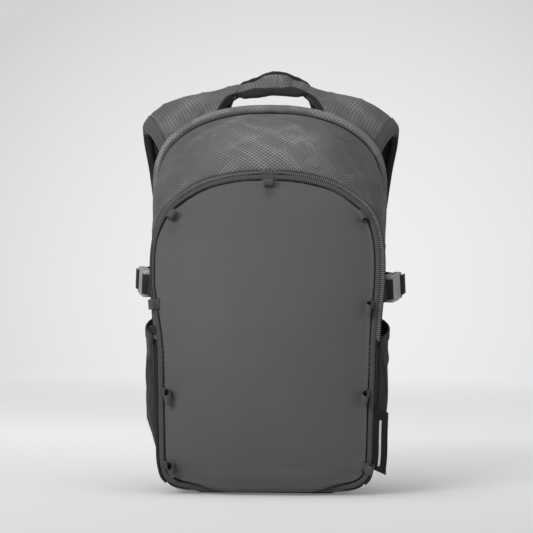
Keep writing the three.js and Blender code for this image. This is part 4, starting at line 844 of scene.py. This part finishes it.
BUCKLE_DIRS = {"left": unit(np.array([0.25, 0.95, 0.15])), "right": unit(np.array([0.36, 0.92, 0.15]))}; BUCKLE_Z = {"left": 250.0, "right": 246.0}
def side_straps():
    for side, sg in (("left", -1), ("right", 1)):
        d = BUCKLE_DIRS[side] * [sg, 1, 1]; o = np.array([sg * 144.4, -46, BUCKLE_Z[side]]); up = unit(np.array([0, 0, 1.0]) - d * d[2])
        face = np.cross(up, d); face = face * np.sign(face[0] * sg)
        out = np.array([sg, 0, 0.0]); L = lambda y, z: o + d * y + face * z
        # front: sewn at the seam, round the socket's bar and back on itself
        a = gusset(np.array([sg * row_at(BUCKLE_Z[side] - 4)]), 0.115)[0] + out * 1.6
        b = Build(); ribbon(b, [a - d * 1, lerp(a, L(-3, -1.0), 0.55), L(-2.6, 0.6), L(-1.5, 3.0), L(0.2, 5.2), L(2.6, 5.4), L(4.2, 3.2), L(4.3, 0.0), L(4.2, -3.2), L(2.6, -5.4), L(-0.6, -5.6), L(-3.4, -3.6), lerp(a, L(-4, -2.6), 0.5)], up, 24.2, 1.5, step=1.0)
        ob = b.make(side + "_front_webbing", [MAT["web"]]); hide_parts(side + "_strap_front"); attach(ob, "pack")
        # rear: round the plug's bar, with a folded tail, then back to the seam behind
        r = gusset(np.array([sg * row_at(BUCKLE_Z[side] + 10)]), 0.955)[0] + out * 2.4
        c = L(43.0, 0)
        pts = [L(52.0, 4.0), L(47.0, 4.6), L(43.0, 5.2), L(39.6, 5.1), L(37.6, 3.4), L(37.4, 0.0), L(37.5, -3.2), L(39.4, -4.9), L(42.6, -4.4), L(45.6, -1.6), c + d * 8 + out * 0.2, lerp(c, r, 0.5) + out * 5.4, lerp(c, r, 0.8) + out * 3.2, r]
        b = Build(); C, W, N = ribbon(b, pts, up, 24.2, 1.5, step=1.2)
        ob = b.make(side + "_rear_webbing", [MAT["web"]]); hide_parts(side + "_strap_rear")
        e0, e1 = L(45.0, 0) * MM, (lerp(c, r, 0.78)) * MM
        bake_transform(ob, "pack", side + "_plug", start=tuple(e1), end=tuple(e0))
        # rolled tail
        t0 = lerp(c, r, 0.36) + out * 7.0; b = Build()
        ang = np.linspace(0, 2.2 * 2 * np.pi, 60); rad = np.linspace(1.1, 4.3, 60)
        cc = t0 + out * 2.2 - up * 2.0
        S_ = cc + np.outer(np.cos(ang) * rad, d) + np.outer(np.sin(ang) * rad, face)
        ribbon(b, S_, up, 22.5, 1.35, step=1.0)
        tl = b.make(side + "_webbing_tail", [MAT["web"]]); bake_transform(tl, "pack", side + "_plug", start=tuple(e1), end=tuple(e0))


def lower_webbing():
    for side, sg in (("left", -1), ("right", 1)):
        q = np.array([[111, 84.6, 146], [111, 86, 140.2], [112.5, 80, 112], [116, 72.5, 76], [119, 68.2, 46], [119, 67.8, 36]]) * [sg, 1, 1]
        b = Build(); ribbon(b, [np.array([111 * sg, 86.2, 152.5]), np.array([111 * sg, 89.6, 150.8]), np.array([111 * sg, 89.2, 146.5])] + list(q[1:]), np.array([1.0, 0, 0]), 24.2, 1.6)
        # loose tail hanging from the ladder lock
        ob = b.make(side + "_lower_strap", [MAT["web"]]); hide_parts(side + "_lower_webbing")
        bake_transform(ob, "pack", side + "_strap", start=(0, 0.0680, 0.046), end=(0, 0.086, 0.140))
        b = Build(); ribbon(b, [np.array([111 * sg, 88.2, 158.4]), np.array([111 * sg, 91.4, 155.0]), np.array([111 * sg, 93.2, 146.0]), np.array([111.5 * sg, 91.6, 128.0]), np.array([112 * sg, 89.4, 112.0])], np.array([1.0, 0, 0]), 24.0, 1.5)
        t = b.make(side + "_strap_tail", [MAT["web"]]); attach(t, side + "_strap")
        # the strap's own webbing, sewn under its end and round the lock's upper bar
        b = Build(); ribbon(b, [np.array([110.5 * sg, 86.6, 178]), np.array([111 * sg, 84.2, 168.5]), np.array([111 * sg, 83.0, 161.5]), np.array([111 * sg, 84.6, 158.4]), np.array([111 * sg, 87.6, 158.8]), np.array([111 * sg, 89.2, 161.8])], np.array([1.0, 0, 0]), 24.0, 1.5)
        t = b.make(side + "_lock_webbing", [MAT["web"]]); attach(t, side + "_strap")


# ------------------------------------------------------------------ yokes, straps, handle
def harness(side, sg):
    nq, nu = 301, 45
    q = np.linspace(0, 10, nq); u = 0.5 - 0.5 * np.cos(np.linspace(0, np.pi, nu)); U, Q = np.meshgrid(u, q)
    P, M = strap_point(sg, U, Q)
    w = np.linalg.norm(np.diff(P, axis=1), axis=-1).sum(1)[:, None]; e = np.minimum(U, 1 - U) * w
    e = np.minimum(e, np.abs(q - 10)[:, None] * 28 + 1.0)
    rd = 1 - np.sqrt(np.maximum(0, 1 - (1 - np.clip(e / 5.5, 0, 1)) ** 2))
    fold = (0.8 * noise3(P * [1, 1, 1.0], 38, 101 if sg > 0 else 111) + 0.35 * noise3(P, 15, 103)) * smooth01(e / 14)
    top = smooth01((5.2 - Q) / 3)
    cr = np.clip(ridge(P * [1.0, 0.6, 1.5], 40, 105 if sg > 0 else 106), 0, 1) ** 4 * top * smooth01(e / 18)
    # a sewn crease where the yoke turns down into the strap
    seam = np.exp(-((Q - 3.1) / 0.11) ** 2) * smooth01((U - 0.66) / 0.1) * 1.4
    Po = P - M * (rd * 4.2 - 0.9 * smooth01(e / 16) - fold * (0.55 + 0.7 * top) - 1.5 * cr + seam)[..., None]
    Pi = P - M * (STRAP_T - rd * 4.0 + 0.35 * noise3(P, 30, 104))[..., None]
    UU = (U - 0.5) * w; VV = np.repeat(np.cumsum(np.r_[0, np.linalg.norm(np.diff(P[:, nu // 2], axis=0), axis=1)])[:, None], nu, 1)
    b = Build(); shell(b, Po, 1, U=UU, V=VV, mats=(0, 1, 1), Q=Pi)
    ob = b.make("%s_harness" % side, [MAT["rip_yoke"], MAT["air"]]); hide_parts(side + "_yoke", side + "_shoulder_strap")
    bands = []
    def face(Uq, Qq, lift):
        """A point on the padded outer face (crown, folds and rolled edge), lifted off it."""
        A, M_ = strap_point(sg, Uq, Qq); ww = np.linalg.norm(OUTER(Qq) - INNER(Qq), axis=-1) * 1.06; ee = np.minimum(Uq, 1 - Uq) * ww
        r_ = 1 - np.sqrt(np.maximum(0, 1 - (1 - np.clip(ee / 5.5, 0, 1)) ** 2))
        f_ = (0.8 * noise3(A * [1, 1, 1.0], 38, 101 if sg > 0 else 111) + 0.35 * noise3(A, 15, 103)) * smooth01(ee / 14); t_ = smooth01((5.2 - Qq) / 3)
        c_ = np.clip(ridge(A * [1.0, 0.6, 1.5], 40, 105 if sg > 0 else 106), 0, 1) ** 4 * t_ * smooth01(ee / 18)
        return A - M_ * (r_ * 4.2 - 0.9 * smooth01(ee / 16) - f_ * (0.55 + 0.7 * t_) - 1.5 * c_ - lift)[..., None], M_
    qb = np.linspace(0.12, 4.4, 180); eb = np.linspace(13.5, 0.4, 14); Wq = np.linalg.norm(OUTER(qb) - INNER(qb), axis=-1) * 1.06
    Ub = 1 - eb[None] / Wq[:, None]; Pb, Mb = face(Ub, np.repeat(qb[:, None], 14, 1), 1.3)
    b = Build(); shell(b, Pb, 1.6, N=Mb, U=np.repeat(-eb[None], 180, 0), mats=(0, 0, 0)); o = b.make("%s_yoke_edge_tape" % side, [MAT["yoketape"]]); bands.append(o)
    Pb, Mb = face(1 - np.stack([13.9 / Wq, 12.9 / Wq], 1), np.repeat(qb[:, None], 2, 1), 0.75)
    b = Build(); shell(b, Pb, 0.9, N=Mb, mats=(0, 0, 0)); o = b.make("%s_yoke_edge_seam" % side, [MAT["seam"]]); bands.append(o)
    # wide edge band down the outer edge, narrow one down the inner edge
    for nm, uu, q0, q1, prof, mat in (("outer_yoke", 1.0, 0.12, 3.45, [(-3.0, 0.2), (-2.2, 0.4), (-0.9, -0.9), (0.2, -3.0), (0.75, -5.0), (0.75, -7.0), (-0.4, -9.8), (-3.2, -11.8), (-9, -12.1), (-9, -10.8), (-4, -10.2), (-1.2, -8.2), (-0.7, -5.6), (-1.6, -2.6)], "yoketape"), ("outer", 1.0, 3.4, 9.98, [(-14.5, 1.0), (-13.9, 1.75), (-6, 1.75), (-2.6, 0.9), (-0.4, -1.4), (0.75, -4.6), (0.75, -7.0), (-0.4, -9.8), (-3.2, -11.8), (-9, -12.1), (-9, -10.8), (-4, -10.2), (-1.2, -8.2), (-0.7, -5.6), (-1.6, -2.6), (-4.2, 0.1)], "dark"),
                                   ("inner", 0.0, 3.5, 9.98, [(-5.6, 0.5), (-5.2, 1.3), (-2.8, 0.75), (-0.6, -1.2), (0.7, -4.2), (0.7, -7.0), (-0.6, -10.0), (-3.6, -11.9), (-5.6, -11.9), (-5.6, -10.8), (-2.6, -9.4), (-0.9, -6.8), (-0.9, -4.4), (-2.6, -1.4)], "binding")):
        qq = np.linspace(q0, q1, 220); C, m = strap_point(sg, np.full(220, uu), qq); C2, _ = strap_point(sg, np.full(220, 0.94 if uu > .5 else 0.06), qq)
        W = C - C2; W = unit(W - m * (W * m).sum(1, keepdims=True)); _, m2 = strap_point(sg, np.full(220, 0.9 if uu > .5 else 0.1), qq)
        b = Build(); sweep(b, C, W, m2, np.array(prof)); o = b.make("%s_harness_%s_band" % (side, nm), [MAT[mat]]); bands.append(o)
        off = 4.6 if nm == "inner" else 12.3
        if nm == "outer_yoke": continue
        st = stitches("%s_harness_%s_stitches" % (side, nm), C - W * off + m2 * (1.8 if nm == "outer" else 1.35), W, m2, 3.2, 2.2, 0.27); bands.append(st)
    # daisy chain of webbing down the middle of the strap
    qq = np.linspace(5.7, 9.9, 160); C, m = strap_point(sg, np.full(160, 0.47), qq); C2, _ = strap_point(sg, np.full(160, 0.55), qq); W = unit(C2 - C); W = unit(W - m * (W * m).sum(1, keepdims=True))
    bump = 1.9 + 1.1 * np.abs(np.sin(np.linspace(0, 7 * np.pi, 160))) ** 0.6
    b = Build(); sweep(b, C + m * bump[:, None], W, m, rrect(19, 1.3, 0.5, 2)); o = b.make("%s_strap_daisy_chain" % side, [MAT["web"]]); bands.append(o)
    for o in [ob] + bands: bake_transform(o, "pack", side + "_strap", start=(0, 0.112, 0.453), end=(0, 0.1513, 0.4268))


HANDLE = Curve(np.array([[-64, 92, 478], [-56, 89, 485.5], [-48, 86.5, 492.5], [-40, 85, 497.5], [-27, 84.5, 501.2], [-16, 84, 503.6], [-4, 83.5, 506.0], [9, 83.5, 506.8], [22, 83.5, 506.0], [36, 84.5, 503.2], [48, 87, 499.0], [57, 90.5, 493.0], [66, 95, 485.0]], float))
_hq = np.linspace(0, 12, 600); _hp = HANDLE(_hq)
def handle_line(x):
    """Middle line of the handle's padded face, its width direction and its outward normal."""
    C = np.stack([x, np.interp(x, _hp[:, 0], _hp[:, 1]), np.interp(x, _hp[:, 0], _hp[:, 2])], -1)
    kk = 1 - smooth01((np.abs(x - 6) - 4) / 42); W = unit(np.stack([np.zeros_like(x), lerp(.72, .42, kk), lerp(.69, .91, kk)], -1))
    N = unit(np.cross(np.tile([1.0, 0, 0], (len(x), 1)), W)); N = N * np.sign(-N[:, 1:2])
    return C, W, N


def handle():
    n = 131; x = np.linspace(-60, 63, n); C, W, N = handle_line(x); wob = noise3(np.stack([x, x * 0, x * 0], -1), 12, 121)
    h_ = lambda x: 12.6 - 2.4 * smooth01((np.abs(x - 6) - 12) / 16) - 4.0 * smooth01((np.abs(x) - 44) / 16)
    half = h_(x); pinch = 1.7 * np.exp(-((np.abs(x - 4) - 25) / 5.0) ** 2) + 4.5 * smooth01((np.abs(x) - 46) / 15)
    s_ = np.sin(np.linspace(-np.pi / 2, np.pi / 2, 25)); S = s_[None] * half[:, None]; X = np.repeat(x[:, None], 25, 1)
    e = half[:, None] - np.abs(S); rd = 1 - np.sqrt(np.maximum(0, 1 - (1 - np.clip(e / 5, 0, 1)) ** 2))
    puff = 2.6 * (1 - (S / half[:, None]) ** 2) * np.exp(-((X - 5) / 22) ** 2) + 0.5 * noise3(np.stack([X * 1.4, S * 0.5, 0 * X], -1), 7, 122)
    P = C[:, None] + W[:, None] * (S + (wob * 0.5)[:, None])[..., None] + N[:, None] * (puff - rd * 3.4 - pinch[:, None])[..., None]
    Q = C[:, None] + W[:, None] * (S + (wob * 0.5)[:, None])[..., None] - N[:, None] * (8.2 - rd * 2.6)[..., None]
    b = Build(); shell(b, P, 1, U=S, V=X, mats=(0, 1, 1), Q=Q)
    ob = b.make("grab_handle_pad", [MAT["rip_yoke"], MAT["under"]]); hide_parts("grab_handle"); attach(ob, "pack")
    # gathered dark binding along the top edge, behind the pad
    x = np.linspace(-42, 50, 170); C, W, N = handle_line(x); half = h_(x)
    wv = noise3(np.stack([x, x * 0, x * 0 + 3], -1), 6.5, 131); g_ = noise3(np.stack([x, x * 0, x * 0 + 9], -1), 3.2, 133)
    CC = C + W * (half + 0.6 + 0.9 * wv)[:, None] - N * (2.2 + 0.5 * g_)[:, None]
    b = Build(); sweep(b, CC, W, N, np.array([(-4.0, 0.6), (-2.6, 1.9), (0.0, 2.3), (2.3, 1.2), (3.0, -0.9), (2.6, -3.6), (0.6, -6.4), (-2.6, -7.6), (-4.8, -6.8), (-4.4, -3.0)]), scale=np.stack([1 + 0.12 * g_, 1 + 0.10 * g_], -1) * smooth01((47 - np.abs(x - 4)) / 8)[:, None].clip(0.25, 1))
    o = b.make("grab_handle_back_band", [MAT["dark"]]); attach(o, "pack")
    # dark mesh lip: up the inner edge of one yoke, under the handle, down the other
    q = np.linspace(0.35, 1.92, 34); pieces = {}
    for sg in (-1, 1):
        up, m1 = strap_point(sg, np.full(34, 0.10), q); lo, m2 = strap_point(sg, np.full(34, 0.0), q)
        pieces[sg] = (up + m1 * 1.7, lo + m2 * 0.2, m1)
    xh = np.linspace(-36.5, 37.5, 60); C, W, N = handle_line(xh); wv = noise3(np.stack([xh, xh * 0, xh * 0 + 3], -1), 9, 135)
    uph = C - W * (9.4 - 3.0 * np.exp(-((np.abs(xh - 4) - 24) / 8) ** 2))[:, None] + N * 1.6; loh = C - W * (18.0 + 0.8 * wv)[:, None] - N * 1.0
    up = np.concatenate([pieces[-1][0], uph, pieces[1][0][::-1]]); lo = np.concatenate([pieces[-1][1], loh, pieces[1][1][::-1]]); nn = np.concatenate([pieces[-1][2], N, pieces[1][2][::-1]])
    t = np.linspace(0, len(up) - 1, 260); sm = lambda A: np.stack([np.interp(t, np.arange(len(A)), blurred(A[:, k], 2.2)) for k in range(3)], -1)
    up, lo, nn = sm(up), sm(lo), unit(sm(nn)); d = unit(lo - up); wv = noise3(np.stack([t * 1.2, t * 0, t * 0], -1), 5.5, 137)
    rows = [up - nn * 1.2, up + nn * 0.5, lerp(up, lo, 0.3) + nn * (1.6 + 0.4 * wv)[:, None], lerp(up, lo, 0.7) + nn * (1.5 + 0.7 * wv)[:, None], lo + nn * 0.2 + d * (0.6 * wv)[:, None], lo + d * (0.5 + 0.9 * wv)[:, None] - nn * 2.0, lo - d * 0.6 - nn * 4.4, lo - d * 3.0 - nn * 5.6]
    P = np.stack(rows, 0); V = np.repeat(arc(P.mean(1, keepdims=True), 0), P.shape[1], 1); U = np.repeat(arc(lerp(up, lo, .5)[None], 1), len(rows), 0)
    b = Build(); shell(b, P, 1.4, U=U, V=V, mats=(0, 0, 0), Q=P - np.stack([nn * 1.2, nn * 1.6, nn * 2.0, nn * 2.0, nn * 1.8 + d * 1.2, -nn * 0.2 + d * 1.7, -nn * 1.2 + d * 1.2, -nn * 1.4], 0))
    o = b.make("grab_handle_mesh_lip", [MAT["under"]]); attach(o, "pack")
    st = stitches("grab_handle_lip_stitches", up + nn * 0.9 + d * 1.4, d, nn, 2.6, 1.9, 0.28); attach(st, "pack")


def sternum():
    for side, sg, pts in (("left", -1, [[-83.0, 131.9, 330], [-66, 133.0, 330], [-45, 132.2, 329.6], [-28, 132.6, 330], [-17.0, 133, 330]]), ("right", 1, [[83.0, 131.9, 330], [66, 133.0, 330], [45, 132.2, 329.6], [28, 132.6, 330], [18.2, 133, 330]])):
        b = Build(); ribbon(b, np.array(pts, float), np.array([0, 0, 1.0]), 19.4, 1.6)
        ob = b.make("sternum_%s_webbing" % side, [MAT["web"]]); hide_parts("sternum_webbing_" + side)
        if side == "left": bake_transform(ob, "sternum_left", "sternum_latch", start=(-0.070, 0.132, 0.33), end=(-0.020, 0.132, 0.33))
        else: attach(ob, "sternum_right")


def side_tab():
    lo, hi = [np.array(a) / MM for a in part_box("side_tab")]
    z = np.linspace(28, 102, 60); a = edge(np.interp(z, FC(_jj)[:, 2], _jj), 0.0)
    t = np.linspace(0, 1, 15); Z, T = np.meshgrid(z, t, indexing="ij")
    X = a[:, None, 0] + lerp(-1.5, 16.6, T); Y = a[:, None, 1] - 2.6 + 0 * T - 0.6 * np.sin(Z / 17.0) * T ** 2 + 2.0 * T ** 2 * smooth01((60 - Z) / 40)
    ZZ_ = Z + 5.5 * (1 - T) * np.interp(Z, [28, 45], [1, 0]) - 5.5 * (1 - T) * np.interp(Z, [28, 45], [0, 0]) - 2.5 * T * np.interp(Z, [28, 40], [1, 0]) + 5 * (1 - T) * np.interp(Z, [85, 102], [0, 1]) - 2.0 * T * np.interp(Z, [90, 102], [0, 1])
    P = np.stack([X, Y, ZZ_], -1); b = Build(); shell(b, P, 1.1, U=lerp(-9.0, 9.0, T), V=Z - 28, mats=(0, 0, 0))
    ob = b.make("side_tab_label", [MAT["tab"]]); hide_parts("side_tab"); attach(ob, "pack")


def seam_piping():
    """Covered piping down the back seam on both sides, and the tape in the front seam below the zip."""
    for side, sg in (("left", -1), ("right", 1)):
        i = np.linspace(9.95, 3.6, 260); p = BC(i); d = BC(np.minimum(17, i + .05)) - BC(i - .05); L = np.hypot(d[:, 0], d[:, 2])
        C = np.stack([sg * (p[:, 0] + d[:, 2] / L * 1.2), np.full(260, BACK_Y - 0.6), p[:, 2] - d[:, 0] / L * 1.2], -1)
        T = tangents(C); N = np.stack([sg * d[:, 2] / L, 0 * L, -d[:, 0] / L], -1); b = Build(); sweep(b, C, np.cross(T, N), N, ellipse(5.2, 5.0, 14))
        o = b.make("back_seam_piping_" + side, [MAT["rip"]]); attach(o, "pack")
        # lining tape that closes the back corner on the inside
        i = np.linspace(16.8, 2.9, 400); p = BC(i); d = BC(np.minimum(17, i + .05)) - BC(i - .05); L = np.hypot(d[:, 0], d[:, 2])
        C = np.stack([sg * (p[:, 0] - d[:, 2] / L * 2.5), np.full(400, BACK_Y - 1.4), p[:, 2] + d[:, 0] / L * 2.5], -1)
        N = np.stack([sg * d[:, 2] / L, 0 * L, -d[:, 0] / L], -1); b = Build(); sweep(b, C, N, np.tile([0.0, 1.0, 0.0], (400, 1)), rrect(7.0, 0.9, 0.3, 2))
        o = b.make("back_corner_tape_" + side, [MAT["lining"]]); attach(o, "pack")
        # front seam tape, pocket height
        j = np.linspace(3.7, row_at(178), 260); C = edge(sg * j, 0.6); n = front_normal(C[:, 0], C[:, 2]); q_ = edge(sg * j, 3.0); W = unit(q_ - C)
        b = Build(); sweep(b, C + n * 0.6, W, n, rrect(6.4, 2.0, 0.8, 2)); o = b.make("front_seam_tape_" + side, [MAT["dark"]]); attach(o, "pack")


# ------------------------------------------------------------------ stage, lights, camera
def camera():
    az, el, D, roll = math.radians(1.0), math.radians(-0.5), 2.5, math.radians(0.5)
    tgt = Vector((-0.0006, -0.090, 0.272))
    d = Vector((math.sin(az) * math.cos(el), -math.cos(az) * math.cos(el), math.sin(el)))
    cam = bpy.data.objects.new("camera", bpy.data.cameras.new("camera")); bpy.context.scene.collection.objects.link(cam)
    cam.location = tgt + d * D
    q = (-d).to_track_quat("-Z", "Y"); cam.rotation_euler = (q @ Vector((0, 0, 0)).rotation_difference(Vector((0, 0, 0))) if False else q).to_euler()
    cam.rotation_euler.rotate_axis("Z", roll)
    cam.data.sensor_width = 36; cam.data.lens = 36 * D / 0.629
    bpy.context.scene.camera = cam
    return cam


def area(name, loc, tgt, size, power, size_y=None):
    L = bpy.data.lights.new(name, "AREA"); L.energy = power; L.size = size
    if size_y: L.shape = "RECTANGLE"; L.size_y = size_y
    o = bpy.data.objects.new(name, L); bpy.context.scene.collection.objects.link(o); o.location = loc
    o.rotation_euler = (Vector(tgt) - Vector(loc)).to_track_quat("-Z", "Y").to_euler(); return o


def studio():
    sc = bpy.context.scene
    sc.view_settings.view_transform = "Standard"; sc.view_settings.look = "None"
    # surroundings: a pale room, brightest level with the object, that gives only a soft ambient light
    w = bpy.data.worlds.new("studio"); sc.world = w; w.use_nodes = True; nt = w.node_tree; g = G(nt); bg = nt.nodes["Background"]
    co = g.node("ShaderNodeTexCoord").outputs["Generated"]; sep = g.node("ShaderNodeSeparateXYZ"); nt.links.new(co, sep.inputs[0])
    r2 = g.math("ADD", g.math("MULTIPLY", sep.outputs[2], sep.outputs[2]), g.math("MULTIPLY", g.math("MULTIPLY", sep.outputs[0], sep.outputs[0]), 0.75))
    lum = g.range(r2, 0.0, 0.027, ROOM[0], ROOM[1], smooth=False)
    lp = g.node("ShaderNodeLightPath")
    mx = g.node("ShaderNodeMix", data_type="FLOAT"); nt.links.new(g.math("MAXIMUM", lp.outputs["Is Diffuse Ray"], lp.outputs["Is Glossy Ray"]), mx.inputs[0]); nt.links.new(lum, mx.inputs[2]); mx.inputs[3].default_value = AMBIENT
    bg.inputs[0].default_value = (1, 1, 1, 1); nt.links.new(mx.outputs[0], bg.inputs[1])
    # floor, fading into the room a few metres out
    n_ = 96; rr = np.array([0, 0.2, 0.4, 0.7, 1.0, 1.5, 2.2, 3.2, 5, 8.0]) * 1000; th = np.linspace(0, 2 * np.pi, n_, endpoint=False)
    P = np.stack([rr[:, None] * np.cos(th)[None], rr[:, None] * np.sin(th)[None], np.full((10, n_), -0.2)], -1)
    b = Build(); base = b.verts(P[1:]); b.grid(base, 9, n_, np.tile(np.arange(n_ + 1.0), (9, 1)), np.tile(np.arange(9.0)[:, None], (1, n_ + 1)), cu=True)
    c0 = b.verts([[0, 0, -0.2]]); 
    b.f.append(np.array([[base + k, base + (k + 1) % n_, c0, -1] for k in range(n_)])); b.uv.append(np.zeros((n_, 4, 2))); b.m.append(np.zeros(n_, int))
    fl = b.make("studio_floor", [], outward=False)
    for poly in fl.data.polygons:
        if poly.normal.z < 0: poly.flip()
    fl.data.update()
    m, nt, p = new_mat("studio_paper"); g = G(nt)
    n = g.noise(g.obj(), 1.2, 2); finish_mat(p, g, g.mix(n, (0.80, 0.80, 0.80), (0.82, 0.82, 0.82)), 0.9, None, 0, 0.1)
    em = g.node("ShaderNodeEmission"); em.inputs[0].default_value = (1, 1, 1, 1)
    lp = g.node("ShaderNodeLightPath"); fs = g.node("ShaderNodeSeparateXYZ"); g.put(fs.inputs[0], g.obj()); g.put(em.inputs[1], g.math("MULTIPLY", lp.outputs["Is Camera Ray"], g.range(fs.outputs[1], -0.5, 0.9, *FLOOR_LIFT)))
    add = g.node("ShaderNodeAddShader"); nt.links.new(p.outputs[0], add.inputs[0]); nt.links.new(em.outputs[0], add.inputs[1])
    tr = g.node("ShaderNodeBsdfTransparent"); ob_ = g.node("ShaderNodeVectorMath", operation="LENGTH"); nt.links.new(g.obj(), ob_.inputs[0])
    f = g.range(ob_.outputs["Value"], FADE[0], FADE[1], 0.0, 1.0, smooth=True)
    f = g.math("MAXIMUM", f, g.node("ShaderNodeNewGeometry").outputs["Backfacing"]); mix = g.node("ShaderNodeMixShader"); g.put(mix.inputs[0], f); nt.links.new(add.outputs[0], mix.inputs[1]); nt.links.new(tr.outputs[0], mix.inputs[2])
    nt.links.new(mix.outputs[0], nt.nodes["Material Output"].inputs["Surface"])
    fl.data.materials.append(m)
    for nm, loc, tgt, size, power, sy in LIGHTS: area(nm, loc, tgt, size, power, sy)


ROOM, AMBIENT, FLOOR_LIFT, FADE = (0.87, 0.65), 0.25, (0.05, 0.38), (1.2, 3.8)
LIGHTS = [("key", (-1.55, -2.6, 1.45), (0, 0, 0.30), 1.4, 61, 1.4), ("fill", (2.3, -1.8, 1.1), (0, 0, 0.3), 1.4, 8, 1.4), ("top", (-0.2, -0.2, 2.4), (0, 0.0, 0.3), 1.4, 14, 1.4)]
CAM = camera()
studio()

# ------------------------------------------------------------------ assembly
blend_fold(front_panel())
blend_fold(edge_binding())
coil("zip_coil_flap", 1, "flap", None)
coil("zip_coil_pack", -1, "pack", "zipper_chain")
for _n, _jv in LOOPS.items(): lash_loop(_n, _jv)
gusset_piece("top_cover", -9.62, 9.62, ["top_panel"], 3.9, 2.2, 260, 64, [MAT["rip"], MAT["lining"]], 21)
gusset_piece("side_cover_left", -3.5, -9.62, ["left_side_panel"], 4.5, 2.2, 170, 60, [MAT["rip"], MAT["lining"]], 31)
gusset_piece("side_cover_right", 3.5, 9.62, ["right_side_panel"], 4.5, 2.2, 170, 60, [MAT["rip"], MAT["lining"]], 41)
top_roll()
seam_piping()
base_cover()
back_panel()
sleeve()
pockets()
hard_parts()
side_straps()
lower_webbing()
harness("left", -1)
harness("right", 1)
handle()
sternum()
side_tab()
for _slot in range(max(1, len(NODES["frame_sheet"].data.materials))):
    if NODES["frame_sheet"].data.materials: NODES["frame_sheet"].data.materials[_slot] = MAT["sheet"]
    else: NODES["frame_sheet"].data.materials.append(MAT["sheet"])
